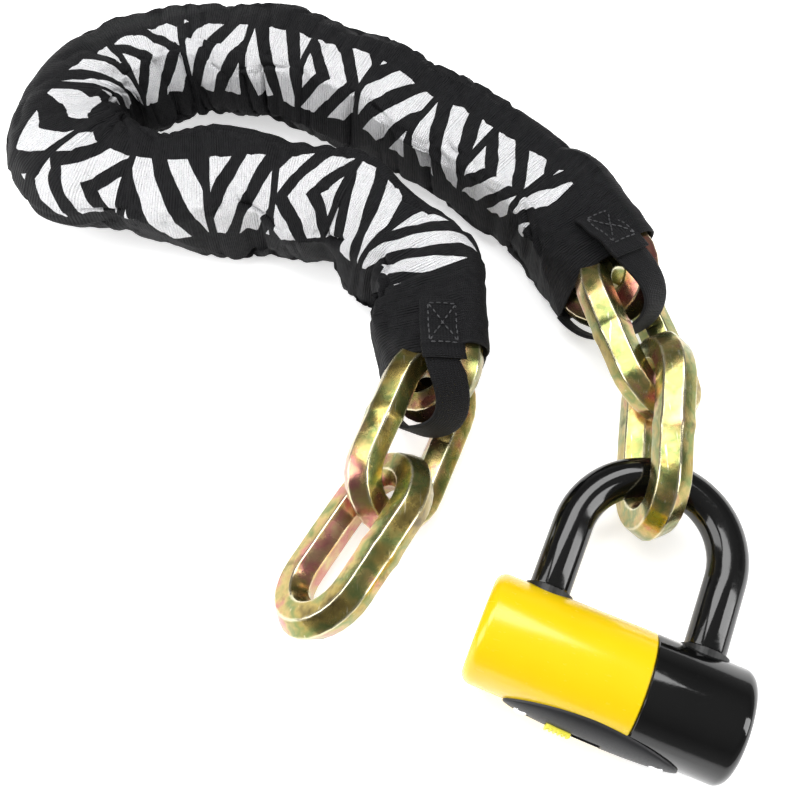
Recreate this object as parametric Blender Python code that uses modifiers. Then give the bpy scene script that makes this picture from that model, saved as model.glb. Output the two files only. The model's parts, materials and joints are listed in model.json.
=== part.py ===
"""Chain lock: a sleeved hexagonal steel chain, closed by a two-tone disc-cylinder padlock.

All sizes are in millimetres and MM turns them into metres. The chain is laid out link by link on
the ground, the fabric sleeve follows the points where the links hook together, and the lock hangs
on the last link. Each moving group hangs from an empty that stands on its joint.
"""

import math

import bmesh
import bpy
from mathutils import Matrix, Vector

MM = 0.001
GAP = 0.3  # clearance between pieces that touch

# Chain links
BAR_FLATS = 13.0  # hexagonal bar, across flats
LINK_LENGTH_INSIDE = 50.0
LINK_WIDTH_INSIDE = 18.0
LINK_ARC_STEPS = 8
LINK_LIFT = 20.6  # height of the free link's middle

# How the chain lies: heading, rise and twist of each link, and the slack before the next one
HEADINGS = (57, 68, 92, 134, 169, 186, 161, 89, 27, -3, -23, -33, -42, -60, -74, -97)
RISES = (2, 1, 4, 3, -8, 11, 3, 1, -6, -2, -2, 1, -3, -3, 1, -10)
TWISTS = (45, 47, 45, 42, 36, 26, 12, 0, 12, 26, 36, 42, 46, 48, 50, 79)
SLACKS = (3, 3, 3, 6, 11, 10, 8, 5, 3, 4, 4, 4, 3, 2, 5)

# Fabric sleeve and its webbing keepers
SLEEVE_WALL = 1.4
SLEEVE_PLAY = 2.2  # room between a link's corner and the fabric
SLEEVE_SIDES = 20
MOUTH_REACH = 17.0  # from the middle of the sleeve's end link out to the mouth
FOLD_GAP = 11.0  # length left open where the sleeve bends
TURN_ROOM = 6.0  # from the fold line out to the fabric of the tight turn
TURN_STEPS = 6
STRAP_WIDTH = 14.0
STRAP_THICKNESS = 1.6
STRAP_PATCH = 16.0  # length sewn on the sleeve
STRAP_PLAY = 1.1  # room between the webbing and the link it goes round
STRAP_STEPS = 12
STRAP_LEAN = 9.0  # degrees from upright where it is sewn on

# Lock body: x runs along it, y points to the shackle
BODY_DIAMETER = 40.0
BODY_LENGTH = 92.0
COVER_WALL = 1.2
COVER_SEAM = 11.4  # from the body's middle to the joint of the two covers
COVER_EDGE = 4.0  # rounding of the ends
LOCK_HEADING = -22.5

# Shackle
SHACKLE_STEEL = 12.6
SHACKLE_COAT = 1.0
LEG_SPACING = 56.0
LEG_OFFSET = 0.6  # middle of the legs from the middle of the body
LEG_FREE = 26.5  # straight leg above the body
LEG_DEPTH = 26.0  # leg below the body's top
SHACKLE_HANG = 14.0  # degrees round the bow from its top to the link
HANG_PLAY = 1.4  # room between the bow and the end of the last link
NOTCH_DEPTH = 5.8
NOTCH_HEIGHT = 8.0
SOCKET_PLAY = 0.5
SEAL_WIDTH = 1.9
SEAL_HEIGHT = 3.4

# Lock works
BOLT_DIAMETER = 7.0
BOLT_LEVEL = 3.4  # height of the bolts above the body's axis
BOLT_TRAVEL = 5.0
CAM_RADIUS = 3.0
CAM_THICKNESS = 5.0
BARREL_RADIUS = 9.5
CORE_RADIUS = 6.2
CORE_NOSE = 3.2
KEY_SLOT = (4.6, 1.8)
DISC_COUNT = 3
DISC_THICKNESS = 1.8
PIN_RADIUS = 1.5

# Keyway plate with its sliding dust cover
PLATE_LENGTH = 60.0
PLATE_HEIGHT = 22.0
PLATE_PROUD = 1.2  # how far it stands out from the covers
TAB_SIZE = (8.6, 6.4)
TAB_THICKNESS = 2.2
TAB_TRAVEL = 10.0
RIVET_SPACING = 47.0
RIVET_HEAD = 2.6
RIVET_SHANK = 1.5

SIDES = 40  # facets round the lock's turned parts

MATERIALS = {
    "zinc": ((0.55, 0.45, 0.2), 0.3, 1.0),
    "nylon": ((0.015, 0.015, 0.017), 0.85, 0.0),
    "webbing": ((0.03, 0.03, 0.033), 0.8, 0.0),
    "yellow": ((0.95, 0.72, 0.02), 0.25, 0.0),
    "gloss_black": ((0.01, 0.01, 0.01), 0.12, 0.0),
    "matte_black": ((0.02, 0.02, 0.022), 0.5, 0.0),
    "steel": ((0.6, 0.6, 0.6), 0.3, 1.0),
    "brass": ((0.75, 0.6, 0.3), 0.3, 1.0),
    "seal": ((0.02, 0.02, 0.02), 0.7, 0.0),
}


# ---------------------------------------------------------------- scene


def clear_scene():
    for obj in list(bpy.data.objects):
        bpy.data.objects.remove(obj, do_unlink=True)


def collection(name):
    made = bpy.data.collections.new(name)
    bpy.context.scene.collection.children.link(made)
    return made


def material(name):
    found = bpy.data.materials.get(name)
    if found:
        return found
    color, roughness, metallic = MATERIALS[name]
    made = bpy.data.materials.new(name)
    made.use_nodes = True
    shader = made.node_tree.nodes["Principled BSDF"]
    shader.inputs["Base Color"].default_value = (*color, 1.0)
    shader.inputs["Roughness"].default_value = roughness
    shader.inputs["Metallic"].default_value = metallic
    return made


class Bench:
    """The collections and the empties that the pieces hang from."""

    def __init__(self):
        self.parts = collection("chain_lock")
        self.cutters = collection("chain_lock_cutters")
        self.pivots = {}

    def pivot(self, name, place, parent=None):
        """An empty on a joint; place is its world matrix in metres."""
        empty = bpy.data.objects.new(f"pivot_{name}", None)
        empty.empty_display_size = 0.01
        self.parts.objects.link(empty)
        self.hang(empty, place, parent)
        self.pivots[name] = empty

    def hang(self, obj, place, parent):
        obj.matrix_world = place
        if parent:
            holder = self.pivots[parent]
            obj.parent = holder
            obj.matrix_parent_inverse = holder.matrix_world.inverted()
        bpy.context.view_layer.update()

    def part(self, name, data, finish, place, pivot):
        data.materials.clear()
        data.materials.append(material(finish))
        obj = bpy.data.objects.new(name, data)
        self.parts.objects.link(obj)
        self.hang(obj, place, pivot)
        return obj

    def cut(self, target, mesh, operation="DIFFERENCE"):
        """Cuts target with a mesh given in target's own space."""
        cutter = bpy.data.objects.new(f"cut_{target.name}_{len(target.modifiers)}", mesh)
        cutter.display_type = "WIRE"
        cutter.hide_render = True
        self.cutters.objects.link(cutter)
        cutter.matrix_world = target.matrix_world
        cutter.parent = target
        cutter.matrix_parent_inverse = target.matrix_world.inverted()
        boolean = target.modifiers.new("cut", "BOOLEAN")
        boolean.operation = operation
        boolean.solver = "EXACT"
        boolean.object = cutter


# ---------------------------------------------------------------- shapes


def finish_mesh(mesh, shape, smooth=30):
    bmesh.ops.recalc_face_normals(shape, faces=shape.faces)
    shape.to_mesh(mesh)
    shape.free()
    mesh.shade_smooth()
    mesh.set_sharp_from_angle(angle=math.radians(smooth))
    return mesh


def rod(name, radius, low, high, axis="Y", at=(0, 0), sides=SIDES):
    """A cylinder along an axis, from low to high, centred on at in the two other axes."""
    shape = bmesh.new()
    bmesh.ops.create_cone(
        shape, cap_ends=True, segments=sides, radius1=radius * MM, radius2=radius * MM, depth=(high - low) * MM
    )
    shape.transform(Matrix.Rotation(math.pi / sides, 4, "Z"))
    turn = {"X": Matrix.Rotation(math.pi / 2, 4, "Y"), "Y": Matrix.Rotation(-math.pi / 2, 4, "X")}
    shape.transform(turn.get(axis, Matrix.Identity(4)))
    middle = list(at)
    middle.insert("XYZ".index(axis), (low + high) / 2)
    bmesh.ops.translate(shape, verts=shape.verts, vec=Vector(middle) * MM)
    return finish_mesh(bpy.data.meshes.new(name), shape)


def block(name, low, high):
    shape = bmesh.new()
    bmesh.ops.create_cube(shape, size=1.0)
    low, high = Vector(low) * MM, Vector(high) * MM
    for vert in shape.verts:
        vert.co = (low + high) / 2 + Vector(co * side for co, side in zip(vert.co, high - low))
    return finish_mesh(bpy.data.meshes.new(name), shape)


def loft(name, rings, closed_ends):
    """Joins rings of equal point count; the last ring joins the first unless the ends are capped."""
    shape = bmesh.new()
    rows = [[shape.verts.new(Vector(point) * MM) for point in ring] for ring in rings]
    pairs = list(zip(rows, rows[1:]))
    if closed_ends:
        shape.faces.new(rows[0])
        shape.faces.new(rows[-1])
    else:
        pairs.append((rows[-1], rows[0]))
    for row, other in pairs:
        for index in range(len(row)):
            after = (index + 1) % len(row)
            shape.faces.new((row[index], row[after], other[after], other[index]))
    return finish_mesh(bpy.data.meshes.new(name), shape, 40)


def turned(name, profile):
    """A closed solid turned about x from (along, radius) points that start and end on the axis."""
    shape = bmesh.new()
    rows = []
    for step in range(SIDES):
        angle = 2 * math.pi * (step + 0.5) / SIDES
        rows.append((math.cos(angle), math.sin(angle)))
    rings = []
    for along, radius in profile:
        if radius == 0:
            rings.append([shape.verts.new(Vector((along, 0, 0)) * MM)])
        else:
            rings.append([shape.verts.new(Vector((along, radius * c, radius * s)) * MM) for c, s in rows])
    for ring, other in zip(rings, rings[1:]):
        for index in range(SIDES):
            after = (index + 1) % SIDES
            corners = [ring[index % len(ring)], ring[after % len(ring)]]
            corners += [other[after % len(other)], other[index % len(other)]]
            unique = list(dict.fromkeys(corners))
            shape.faces.new(unique)
    return finish_mesh(bpy.data.meshes.new(name), shape)


def tube(name, points, radius, sides_step=3, cyclic=False):
    """A round bar along points, as a mesh with closed ends; sides_step 1 makes it hexagonal."""
    curve = bpy.data.curves.new(name, "CURVE")
    curve.dimensions = "3D"
    curve.bevel_depth = radius * MM
    curve.bevel_resolution = sides_step
    curve.use_fill_caps = True
    spline = curve.splines.new("POLY")
    spline.points.add(len(points) - 1)
    for point, place in zip(spline.points, points):
        point.co = (*(Vector(place) * MM), 1)
    spline.use_cyclic_u = cyclic
    guide = bpy.data.objects.new(name, curve)
    bpy.context.scene.collection.objects.link(guide)
    graph = bpy.context.evaluated_depsgraph_get()
    mesh = bpy.data.meshes.new_from_object(guide.evaluated_get(graph))
    bpy.data.objects.remove(guide, do_unlink=True)
    bpy.data.curves.remove(curve)
    shape = bmesh.new()
    shape.from_mesh(mesh)
    bmesh.ops.remove_doubles(shape, verts=shape.verts, dist=0.00001)
    return finish_mesh(mesh, shape, 40)


# ---------------------------------------------------------------- chain


def hexagon_radius():
    """Centre to corner of the hexagonal bar."""
    return BAR_FLATS / math.sqrt(3)


class LinkPose:
    """Where one link lies: x runs along it, y across it in its own plane, z out of that plane."""

    def __init__(self, number, heading, rise, twist):
        self.number = number
        self.twist = twist
        roll = twist + (90 if number % 2 else 0)
        turn = Matrix.Rotation(math.radians(heading), 3, "Z")
        turn = turn @ Matrix.Rotation(math.radians(-rise), 3, "Y")
        self.turn = turn @ Matrix.Rotation(math.radians(roll), 3, "X")
        self.centre = Vector((0, 0, LINK_LIFT))
        self.joint = None  # where the next link hooks in

    def along(self):
        return self.turn.col[0].copy()

    def normal(self):
        return self.turn.col[2].copy()

    def place(self):
        return Matrix.LocRotScale(self.centre * MM, self.turn.to_quaternion(), None)


def lay_chain():
    """Each link hooks into the one before: its end bar rests inside the other's end arc."""
    radius = hexagon_radius()
    own_end = LINK_LENGTH_INSIDE / 2 + radius
    poses = []
    for index, heading in enumerate(HEADINGS):
        pose = LinkPose(index + 1, heading, RISES[index], TWISTS[index])
        if poses:
            before = poses[-1]
            near = LINK_LENGTH_INSIDE / 2 - radius - GAP - SLACKS[index - 1]
            across = before.normal().cross(pose.normal()).normalized()
            if across.dot(before.along()) < 0:
                across.negate()
            step = (own_end - near) * across
            # a flat link lets the next one turn inside it, an upright link turns inside the next
            share = pose.normal().z ** 2 / (pose.normal().z ** 2 + before.normal().z ** 2)
            before.joint = before.centre + near * before.along() + share * step
            pose.centre = before.centre + near * (before.along() + pose.along()) + step
        poses.append(pose)
    return poses


def link_points(straight_steps=1):
    """The middle line of a link's bar, in the link's own space."""
    bend = LINK_WIDTH_INSIDE / 2 + hexagon_radius()
    straight = LINK_LENGTH_INSIDE / 2 - LINK_WIDTH_INSIDE / 2
    points = []
    for side in (1, -1):
        for step in range(LINK_ARC_STEPS + 1):
            angle = math.pi * (step / LINK_ARC_STEPS - 0.5)
            points.append((side * (straight + bend * math.cos(angle)), side * bend * math.sin(angle), 0))
        for step in range(1, straight_steps):
            share = 1 - 2 * step / straight_steps
            points.append((side * straight * share, side * bend, 0))
    return points


def link_mesh():
    """A hexagonal bar bent into a stadium, with two corners of the hexagon in the link's plane."""
    return tube("link", link_points(), hexagon_radius(), sides_step=1, cyclic=True)


# ---------------------------------------------------------------- sleeve


def level(vector):
    return Vector((vector.x, vector.y, 0)).normalized()


class SleeveRing:
    """An upright cut across the sleeve, drawn tight over the bars that pass near it.

    The outline is given by how far it reaches in SLEEVE_SIDES directions, so it is always convex.
    A ring of the tight turn stands on the fold line, with the links on its outer side.
    """

    def __init__(self, point, facing, links, runs=None, fold=False):
        self.point = Vector((point.x, point.y, 0))
        self.facing = level(facing)
        self.runs = runs or (self.facing, self.facing)
        self.side = Vector((0, 0, 1)).cross(self.facing)
        self.links = links
        self.fold = fold
        self.reach = []

    def ahead(self, point):
        return (point - self.point).dot(self.facing)

    def flat_places(self, point):
        """Where a point lands on this cut, slid along the sleeve or swung round the fold line."""
        offset = point - self.point
        ahead = offset.dot(self.facing)
        run = self.runs[0] if ahead < 0 else self.runs[1]
        slid = offset - run * (ahead / run.dot(self.facing))
        places = [(slid.dot(self.side), point.z)]
        if self.fold:
            if places[0][0] <= 0:
                return []
            places.append((offset.xy.length, point.z))
        return places

    def wrap(self, poses, before, after):
        """Sets the reach so that the fabric clears every bar between the two neighbouring cuts."""
        radius = hexagon_radius()
        flat = []
        for number in self.links:
            pose = poses[number - 1]
            for local in link_points(straight_steps=6):
                point = pose.centre + pose.turn @ Vector(local)
                if before.ahead(point) > -radius and after.ahead(point) < radius:
                    flat += self.flat_places(point)
        for index in range(SLEEVE_SIDES):
            side, up = ring_direction(index)
            reach = max(place[0] * side + place[1] * up for place in flat)
            self.reach.append(reach + radius + SLEEVE_PLAY + SLEEVE_WALL)

    def loop(self, inset):
        """Corners where the lines that touch the outline in neighbouring directions meet."""
        step = 2 * math.pi / SLEEVE_SIDES
        points = []
        for index, reach in enumerate(self.reach):
            side, up = ring_direction(index)
            after = self.reach[(index + 1) % SLEEVE_SIDES] - inset
            along = (after - (reach - inset) * math.cos(step)) / math.sin(step)
            out = (reach - inset) * side - along * up
            height = (reach - inset) * up + along * side
            points.append(self.point + out * self.side + height * Vector((0, 0, 1)))
        return points


def ring_direction(index):
    angle = 2 * math.pi * (index + 0.5) / SLEEVE_SIDES
    return math.cos(angle), math.sin(angle)


def joint_ring(poses, number, shift):
    """The mitred cut where two links hook together, moved along the sleeve by shift."""
    before, after = poses[number - 1], poses[number]
    runs = (level(before.along()), level(after.along()))
    facing = level(runs[0] + runs[1])
    return SleeveRing(before.joint + shift * facing, facing, (number, number + 1), runs)


def mouth_ring(pose, outward):
    point = pose.centre + outward * MOUTH_REACH * level(pose.along())
    return SleeveRing(point, pose.along(), (pose.number, pose.number + outward))


def fold_point(before, after, room):
    """The point at the same distance on the inner side of two links' middle lines."""
    ahead, back = level(before.along()), level(after.along())
    inward, inward_after = ahead.cross(Vector((0, 0, 1))), back.cross(Vector((0, 0, 1)))
    start = before.centre + room * inward
    end = after.centre + room * inward_after
    share = (end - start).dot(inward_after) / ahead.dot(inward_after)
    return start + share * ahead


def turn_rings(poses, first, last):
    """Cuts that fan out from the fold line round the tight turn."""
    before, after = poses[first - 1], poses[last - 1]
    lean = max(math.sin(math.radians(pose.twist)) for pose in (before, after))
    bend = LINK_WIDTH_INSIDE / 2 + hexagon_radius()
    room = bend * lean + hexagon_radius() + SLEEVE_PLAY + SLEEVE_WALL + TURN_ROOM
    fold = fold_point(before, after, room)
    rings = []
    for step in range(TURN_STEPS + 1):
        share = step / TURN_STEPS
        angle = HEADINGS[first - 1] * (1 - share) + HEADINGS[last - 1] * share
        facing = Matrix.Rotation(math.radians(angle), 3, "Z") @ Vector((1, 0, 0))
        links = range(first, last + 1)
        if step == 0:
            links = (first - 1, first, first + 1)
        if step == TURN_STEPS:
            links = (last - 1, last, last + 1)
        rings.append(SleeveRing(fold, facing, links, fold=True))
    return rings


def sleeve_rings(poses, first, last, open_before, open_after, tight):
    """Cuts from the link numbered first to the one numbered last; an open end is a mouth."""
    rings = []
    if open_before:
        rings.append(mouth_ring(poses[first - 1], -1))
    else:
        rings.append(joint_ring(poses, first - 1, FOLD_GAP / 2))
    if tight:
        rings += turn_rings(poses, first, last)
    else:
        for number in range(first, last + 1):
            pose = poses[number - 1]
            rings.append(SleeveRing(pose.centre, pose.along(), (number - 1, number, number + 1)))
            if number < last:
                rings.append(joint_ring(poses, number, 0.0))
    if open_after:
        rings.append(mouth_ring(poses[last - 1], 1))
    else:
        rings.append(joint_ring(poses, last, -FOLD_GAP / 2))
    for index, ring in enumerate(rings):
        before = rings[max(index - 1, 0)]
        after = rings[min(index + 1, len(rings) - 1)]
        ring.wrap(poses, before, after)
    return rings


def sleeve_mesh(name, rings):
    loops = [ring.loop(0) for ring in rings]
    loops += [ring.loop(SLEEVE_WALL) for ring in reversed(rings)]
    return loft(name, loops, closed_ends=False)


def strap_mesh(name, pose, outward, rings):
    """Webbing sewn on top of the mouth, looped round the link's end and tucked back below.

    outward is 1 or -1: the way out of the sleeve along the link; rings are the sleeve's cuts that
    the sewn part lies between.
    """
    out = level(pose.along()) * outward
    up = Vector((0, 0, 1))
    side = out.cross(up)
    mouth = pose.centre + MOUTH_REACH * out
    nose = LINK_LENGTH_INSIDE / 2 + 2 * hexagon_radius() - MOUTH_REACH + STRAP_THICKNESS + STRAP_PLAY
    low = LINK_WIDTH_INSIDE / 2 + 2 * hexagon_radius() + STRAP_THICKNESS + STRAP_PLAY
    plane = math.degrees(math.atan2(pose.turn.col[1].dot(side), pose.turn.col[1].dot(up)))
    plane = (plane + 90) % 180 - 90
    lean_top = math.copysign(STRAP_LEAN, plane)
    radial = math.sin(math.radians(lean_top)) * side + math.cos(math.radians(lean_top)) * up
    seat = max((point - mouth).dot(radial) for ring in rings for point in ring.loop(0))
    top = seat + GAP + STRAP_THICKNESS / 2
    stations = [(-STRAP_PATCH, 90.0)]
    for step in range(STRAP_STEPS + 1):
        stations.append((None, 90 - 180 * step / STRAP_STEPS))
    rings = []
    for reach_back, turn in stations:
        swing = math.radians(turn)
        lean = math.radians(plane + (lean_top - plane) * max(0.0, math.sin(swing)) ** 2)
        radial = math.sin(lean) * side + math.cos(lean) * up
        width = math.cos(lean) * side - math.sin(lean) * up
        height = (top if turn > 0 else low) * math.sin(swing)
        ahead = nose * math.cos(swing) + 1.0 if reach_back is None else reach_back
        middle = mouth + ahead * out + height * radial
        outer = math.sin(swing) * radial + math.cos(swing) * out
        rings.append(
            [
                middle + w * STRAP_WIDTH / 2 * width + t * STRAP_THICKNESS / 2 * outer
                for w, t in ((1, 1), (-1, 1), (-1, -1), (1, -1))
            ]
        )
    return loft(name, rings, closed_ends=True)


# ---------------------------------------------------------------- lock


def lock_place(last):
    """World matrix of the lock's middle: it lies on the ground, its bow in the last link's end arc."""
    bar = SHACKLE_STEEL / 2 + SHACKLE_COAT
    contact = last.centre + (LINK_LENGTH_INSIDE / 2 - bar - HANG_PLAY) * last.along()
    hang = math.radians(90 + SHACKLE_HANG)
    bow = LEG_SPACING / 2
    on_bow = Vector(
        (LEG_OFFSET + bow * math.cos(hang), BODY_DIAMETER / 2 + LEG_FREE + bow * math.sin(hang), 0)
    )
    tilt = math.asin((contact.z - BODY_DIAMETER / 2) / on_bow.y)
    turn = Matrix.Rotation(math.radians(LOCK_HEADING), 3, "Z") @ Matrix.Rotation(tilt, 3, "X")
    return Matrix.LocRotScale((contact - turn @ on_bow) * MM, turn.to_quaternion(), None)


def bow_points(bottom, steps=14):
    """The shackle's centre line from one leg's foot, over the bow, to the other's."""
    bow = LEG_SPACING / 2
    top = BODY_DIAMETER / 2 + LEG_FREE
    points = [(LEG_OFFSET - bow, bottom, 0)]
    for step in range(steps + 1):
        angle = math.pi * (1 - step / steps)
        points.append((LEG_OFFSET + bow * math.cos(angle), top + bow * math.sin(angle), 0))
    points.append((LEG_OFFSET + bow, bottom, 0))
    return points


def legs():
    return (LEG_OFFSET - LEG_SPACING / 2, LEG_OFFSET + LEG_SPACING / 2)


def make_shackle(bench, place):
    body_top = BODY_DIAMETER / 2
    steel = tube("shackle", bow_points(body_top - LEG_DEPTH), SHACKLE_STEEL / 2, sides_step=4)
    steel = bench.part("shackle", steel, "steel", place, "shackle")
    inner = SHACKLE_STEEL / 2 - NOTCH_DEPTH
    for sign, x in zip((1, -1), legs()):
        near, far = sorted((x + sign * inner, x + sign * SHACKLE_STEEL))
        low = (near, BOLT_LEVEL - NOTCH_HEIGHT / 2, -SHACKLE_STEEL)
        high = (far, BOLT_LEVEL + NOTCH_HEIGHT / 2, SHACKLE_STEEL)
        bench.cut(steel, block("notch", low, high))
    coat_bottom = body_top + 2 * GAP
    coat = tube("shackle_coating", bow_points(coat_bottom), SHACKLE_STEEL / 2 + SHACKLE_COAT, sides_step=4)
    coat = bench.part("shackle_coating", coat, "gloss_black", place, "shackle")
    hollow = tube("hollow", bow_points(coat_bottom - 5), SHACKLE_STEEL / 2 + GAP / 2, sides_step=4)
    bench.cut(coat, hollow)
    return steel


def lens_mesh(name, length, height, low, high, at=0.0):
    """A lens outline in x and z, drawn between y = low and y = high."""
    half, rise = length / 2, height / 2
    radius = (half * half + rise * rise) / (2 * rise)
    spread = math.asin(half / radius)
    steps = 12
    outline = []
    for side in (1, -1):
        for step in range(steps):
            angle = spread * (1 - 2 * step / steps)
            outline.append((side * radius * math.sin(angle), side * (radius * math.cos(angle) - radius + rise)))
    rings = [[(at + x, y, z) for x, z in outline] for y in (low, high)]
    return loft(name, rings, closed_ends=True)


def cover_profile(start, end, radius, edge):
    """Half section of a turned shape from its rim to its end on the axis, with a rounded corner."""
    points = [(start, radius)]
    centre = end - edge
    for step in range(6):
        angle = math.pi / 2 * step / 5
        points.append((centre + edge * math.sin(angle), radius - edge + edge * math.cos(angle)))
    points.append((end, 0))
    return points


def make_cover(bench, place, name, finish, end_sign, seam):
    """A cup over one end of the steel body: yellow on the left, black on the right."""
    radius = BODY_DIAMETER / 2
    end = BODY_LENGTH / 2
    inside = cover_profile(seam, end - COVER_WALL, radius - COVER_WALL, COVER_EDGE - COVER_WALL)
    profile = inside[::-1] + cover_profile(seam, end, radius, COVER_EDGE)
    cup = turned(name, [(x * end_sign, height) for x, height in profile])
    cover = bench.part(name, cup, finish, place, "lock_case")
    for x in legs():
        if (x - end_sign * seam) * end_sign > 0:
            hole = SHACKLE_STEEL / 2 + SOCKET_PLAY + SEAL_WIDTH + GAP
            bench.cut(cover, rod("leg_hole", hole, radius / 2, radius + 5, at=(x, 0), sides=32))
    window = lens_mesh(
        "window", PLATE_LENGTH + 2 * GAP, PLATE_HEIGHT + 2 * GAP, -radius - 5, -radius / 2, at=LEG_OFFSET
    )
    bench.cut(cover, window)
    return cover


def make_body(bench, place):
    """The hardened block inside the covers, with sockets, a bolt channel and the cylinder's bore."""
    radius = BODY_DIAMETER / 2 - COVER_WALL - GAP
    half = BODY_LENGTH / 2 - COVER_WALL - GAP
    edge = COVER_EDGE - COVER_WALL
    profile = [(-half, 0), (-half, radius - edge), (-half + edge, radius)]
    profile += [(half - edge, radius), (half, radius - edge), (half, 0)]
    body = bench.part("lock_body", turned("lock_body", profile), "steel", place, "lock_case")
    for x in legs():
        socket = SHACKLE_STEEL / 2 + SOCKET_PLAY
        foot = BODY_DIAMETER / 2 - LEG_DEPTH - 2 * GAP
        bench.cut(body, rod("socket", socket, foot, radius + 5, at=(x, 0)))
        seat = socket + SEAL_WIDTH + GAP
        bench.cut(body, rod("seal_seat", seat, BODY_DIAMETER / 2 - SEAL_HEIGHT - GAP, radius + 5, at=(x, 0)))
    left, right = legs()
    channel = BOLT_DIAMETER / 2 + GAP
    bench.cut(body, rod("bolt_channel", channel, left, right, axis="X", at=(BOLT_LEVEL, 0)))
    cam_reach = CAM_RADIUS + BOLT_TRAVEL + 2 * GAP
    cam_room = rod("cam_room", cam_reach, -1, BOLT_LEVEL + CAM_THICKNESS / 2 + GAP, at=(LEG_OFFSET, 0))
    bench.cut(body, cam_room)
    barrel = BARREL_RADIUS + GAP
    bench.cut(body, rod("barrel_bore", barrel, -radius - 5, barrel_top() + GAP, at=(LEG_OFFSET, 0)))
    pin_at = (LEG_OFFSET + BARREL_RADIUS, pin_level())
    bench.cut(body, rod("pin_bore", PIN_RADIUS + GAP, -radius - 5, radius + 5, axis="Z", at=pin_at))
    for x in rivet_places():
        bench.cut(body, rod("rivet_bore", RIVET_SHANK + GAP, -radius - 5, -rivet_foot(), at=(x, 0), sides=16))
    return body


def barrel_top():
    """Height of the barrel's inner end: just under the cam and the bolts."""
    return BOLT_LEVEL - max(CAM_THICKNESS, BOLT_DIAMETER) / 2 - GAP


def pin_level():
    return -BODY_DIAMETER / 5


def plate_inner():
    return BODY_DIAMETER / 2 - COVER_WALL


def rivet_foot():
    return BODY_DIAMETER / 2 - 8.0


def rivet_places():
    return (LEG_OFFSET - RIVET_SPACING / 2, LEG_OFFSET + RIVET_SPACING / 2)


def make_seals(bench, place):
    top = BODY_DIAMETER / 2
    for side, x in zip(("left", "right"), legs()):
        bore = SHACKLE_STEEL / 2 + SOCKET_PLAY
        ring = rod("seal", bore + SEAL_WIDTH, top - SEAL_HEIGHT, top + GAP, at=(x, 0))
        seal = bench.part(f"shackle_seal_{side}", ring, "seal", place, "lock_case")
        bench.cut(seal, rod("seal_bore", bore, top - SEAL_HEIGHT - 2, top + 5, at=(x, 0)))


def make_cylinder(bench, place):
    """Barrel fixed in the body; core, discs and cam turn in it with the key."""
    low = -(math.sqrt(plate_inner() ** 2 - BARREL_RADIUS**2) - GAP)
    top = barrel_top()
    barrel = rod("cylinder_barrel", BARREL_RADIUS, low, top, at=(LEG_OFFSET, 0))
    barrel = bench.part("cylinder_barrel", barrel, "brass", place, "lock_case")
    wall = CORE_RADIUS + GAP
    bench.cut(barrel, rod("core_bore", wall, low + 1.5, top + 5, at=(LEG_OFFSET, 0)))
    bench.cut(barrel, rod("nose_bore", CORE_NOSE + GAP, low - 5, top, at=(LEG_OFFSET, 0), sides=24))
    pin_at = (LEG_OFFSET + BARREL_RADIUS, pin_level())
    reach = math.sqrt((BODY_DIAMETER / 2 - COVER_WALL - GAP) ** 2 - (BARREL_RADIUS + abs(LEG_OFFSET)) ** 2) - 4
    pin_span = (-reach, reach)
    bench.cut(barrel, rod("pin_groove", PIN_RADIUS + GAP, -20, 20, axis="Z", at=pin_at))
    pin = rod("cylinder_pin", PIN_RADIUS, *pin_span, axis="Z", at=pin_at, sides=16)
    bench.part("cylinder_pin", pin, "steel", place, "lock_case")

    core_low = low + 1.5 + GAP
    core = rod("cylinder_core", CORE_RADIUS, core_low, top - GAP, at=(LEG_OFFSET, 0))
    core = bench.part("cylinder_core", core, "brass", place, "cylinder_core")
    nose = rod("nose", CORE_NOSE, -plate_inner() - 0.4, core_low + 1, at=(LEG_OFFSET, 0), sides=24)
    bench.cut(core, nose, "UNION")
    wide, thin = KEY_SLOT
    disc_room = DISC_COUNT * (DISC_THICKNESS + GAP) + GAP
    disc_radius = CORE_RADIUS - 1.2
    bench.cut(core, rod("disc_room", disc_radius, core_low + 2, core_low + 2 + disc_room, at=(LEG_OFFSET, 0)))
    slot_low = (LEG_OFFSET - thin / 2, -BODY_DIAMETER, -wide / 2)
    slot_high = (LEG_OFFSET + thin / 2, core_low + 2 + disc_room, wide / 2)
    bench.cut(core, block("key_slot", slot_low, slot_high))
    for number in range(DISC_COUNT):
        start = core_low + 2 + GAP + number * (DISC_THICKNESS + GAP)
        disc = rod("disc", disc_radius - GAP, start, start + DISC_THICKNESS, at=(LEG_OFFSET, 0), sides=24)
        disc = bench.part(f"detainer_disc_{number + 1}", disc, "brass", place, "cylinder_core")
        bench.cut(disc, block("key_slot", slot_low, slot_high))

    cam_low = BOLT_LEVEL - CAM_THICKNESS / 2
    cam = block(
        "bolt_cam",
        (LEG_OFFSET - CAM_RADIUS, cam_low, -BOLT_TRAVEL),
        (LEG_OFFSET + CAM_RADIUS, cam_low + CAM_THICKNESS, BOLT_TRAVEL),
    )
    cam = bench.part("bolt_cam", cam, "steel", place, "cylinder_core")
    for sign in (1, -1):
        end = rod(
            "cam_end", CAM_RADIUS, cam_low, cam_low + CAM_THICKNESS, at=(LEG_OFFSET, sign * BOLT_TRAVEL), sides=24
        )
        bench.cut(cam, end, "UNION")


def make_bolts(bench, place):
    """Round bolts, drawn back from the shackle's notches at rest."""
    inner = CAM_RADIUS + 1.3
    outer = LEG_SPACING / 2 - SHACKLE_STEEL / 2 - 2 * GAP
    for side, sign in (("left", -1), ("right", 1)):
        span = sorted((LEG_OFFSET + sign * inner, LEG_OFFSET + sign * outer))
        bolt = rod("bolt", BOLT_DIAMETER / 2, *span, axis="X", at=(BOLT_LEVEL, 0), sides=24)
        bench.part(f"bolt_{side}", bolt, "steel", place, f"bolt_{side}")


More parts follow.
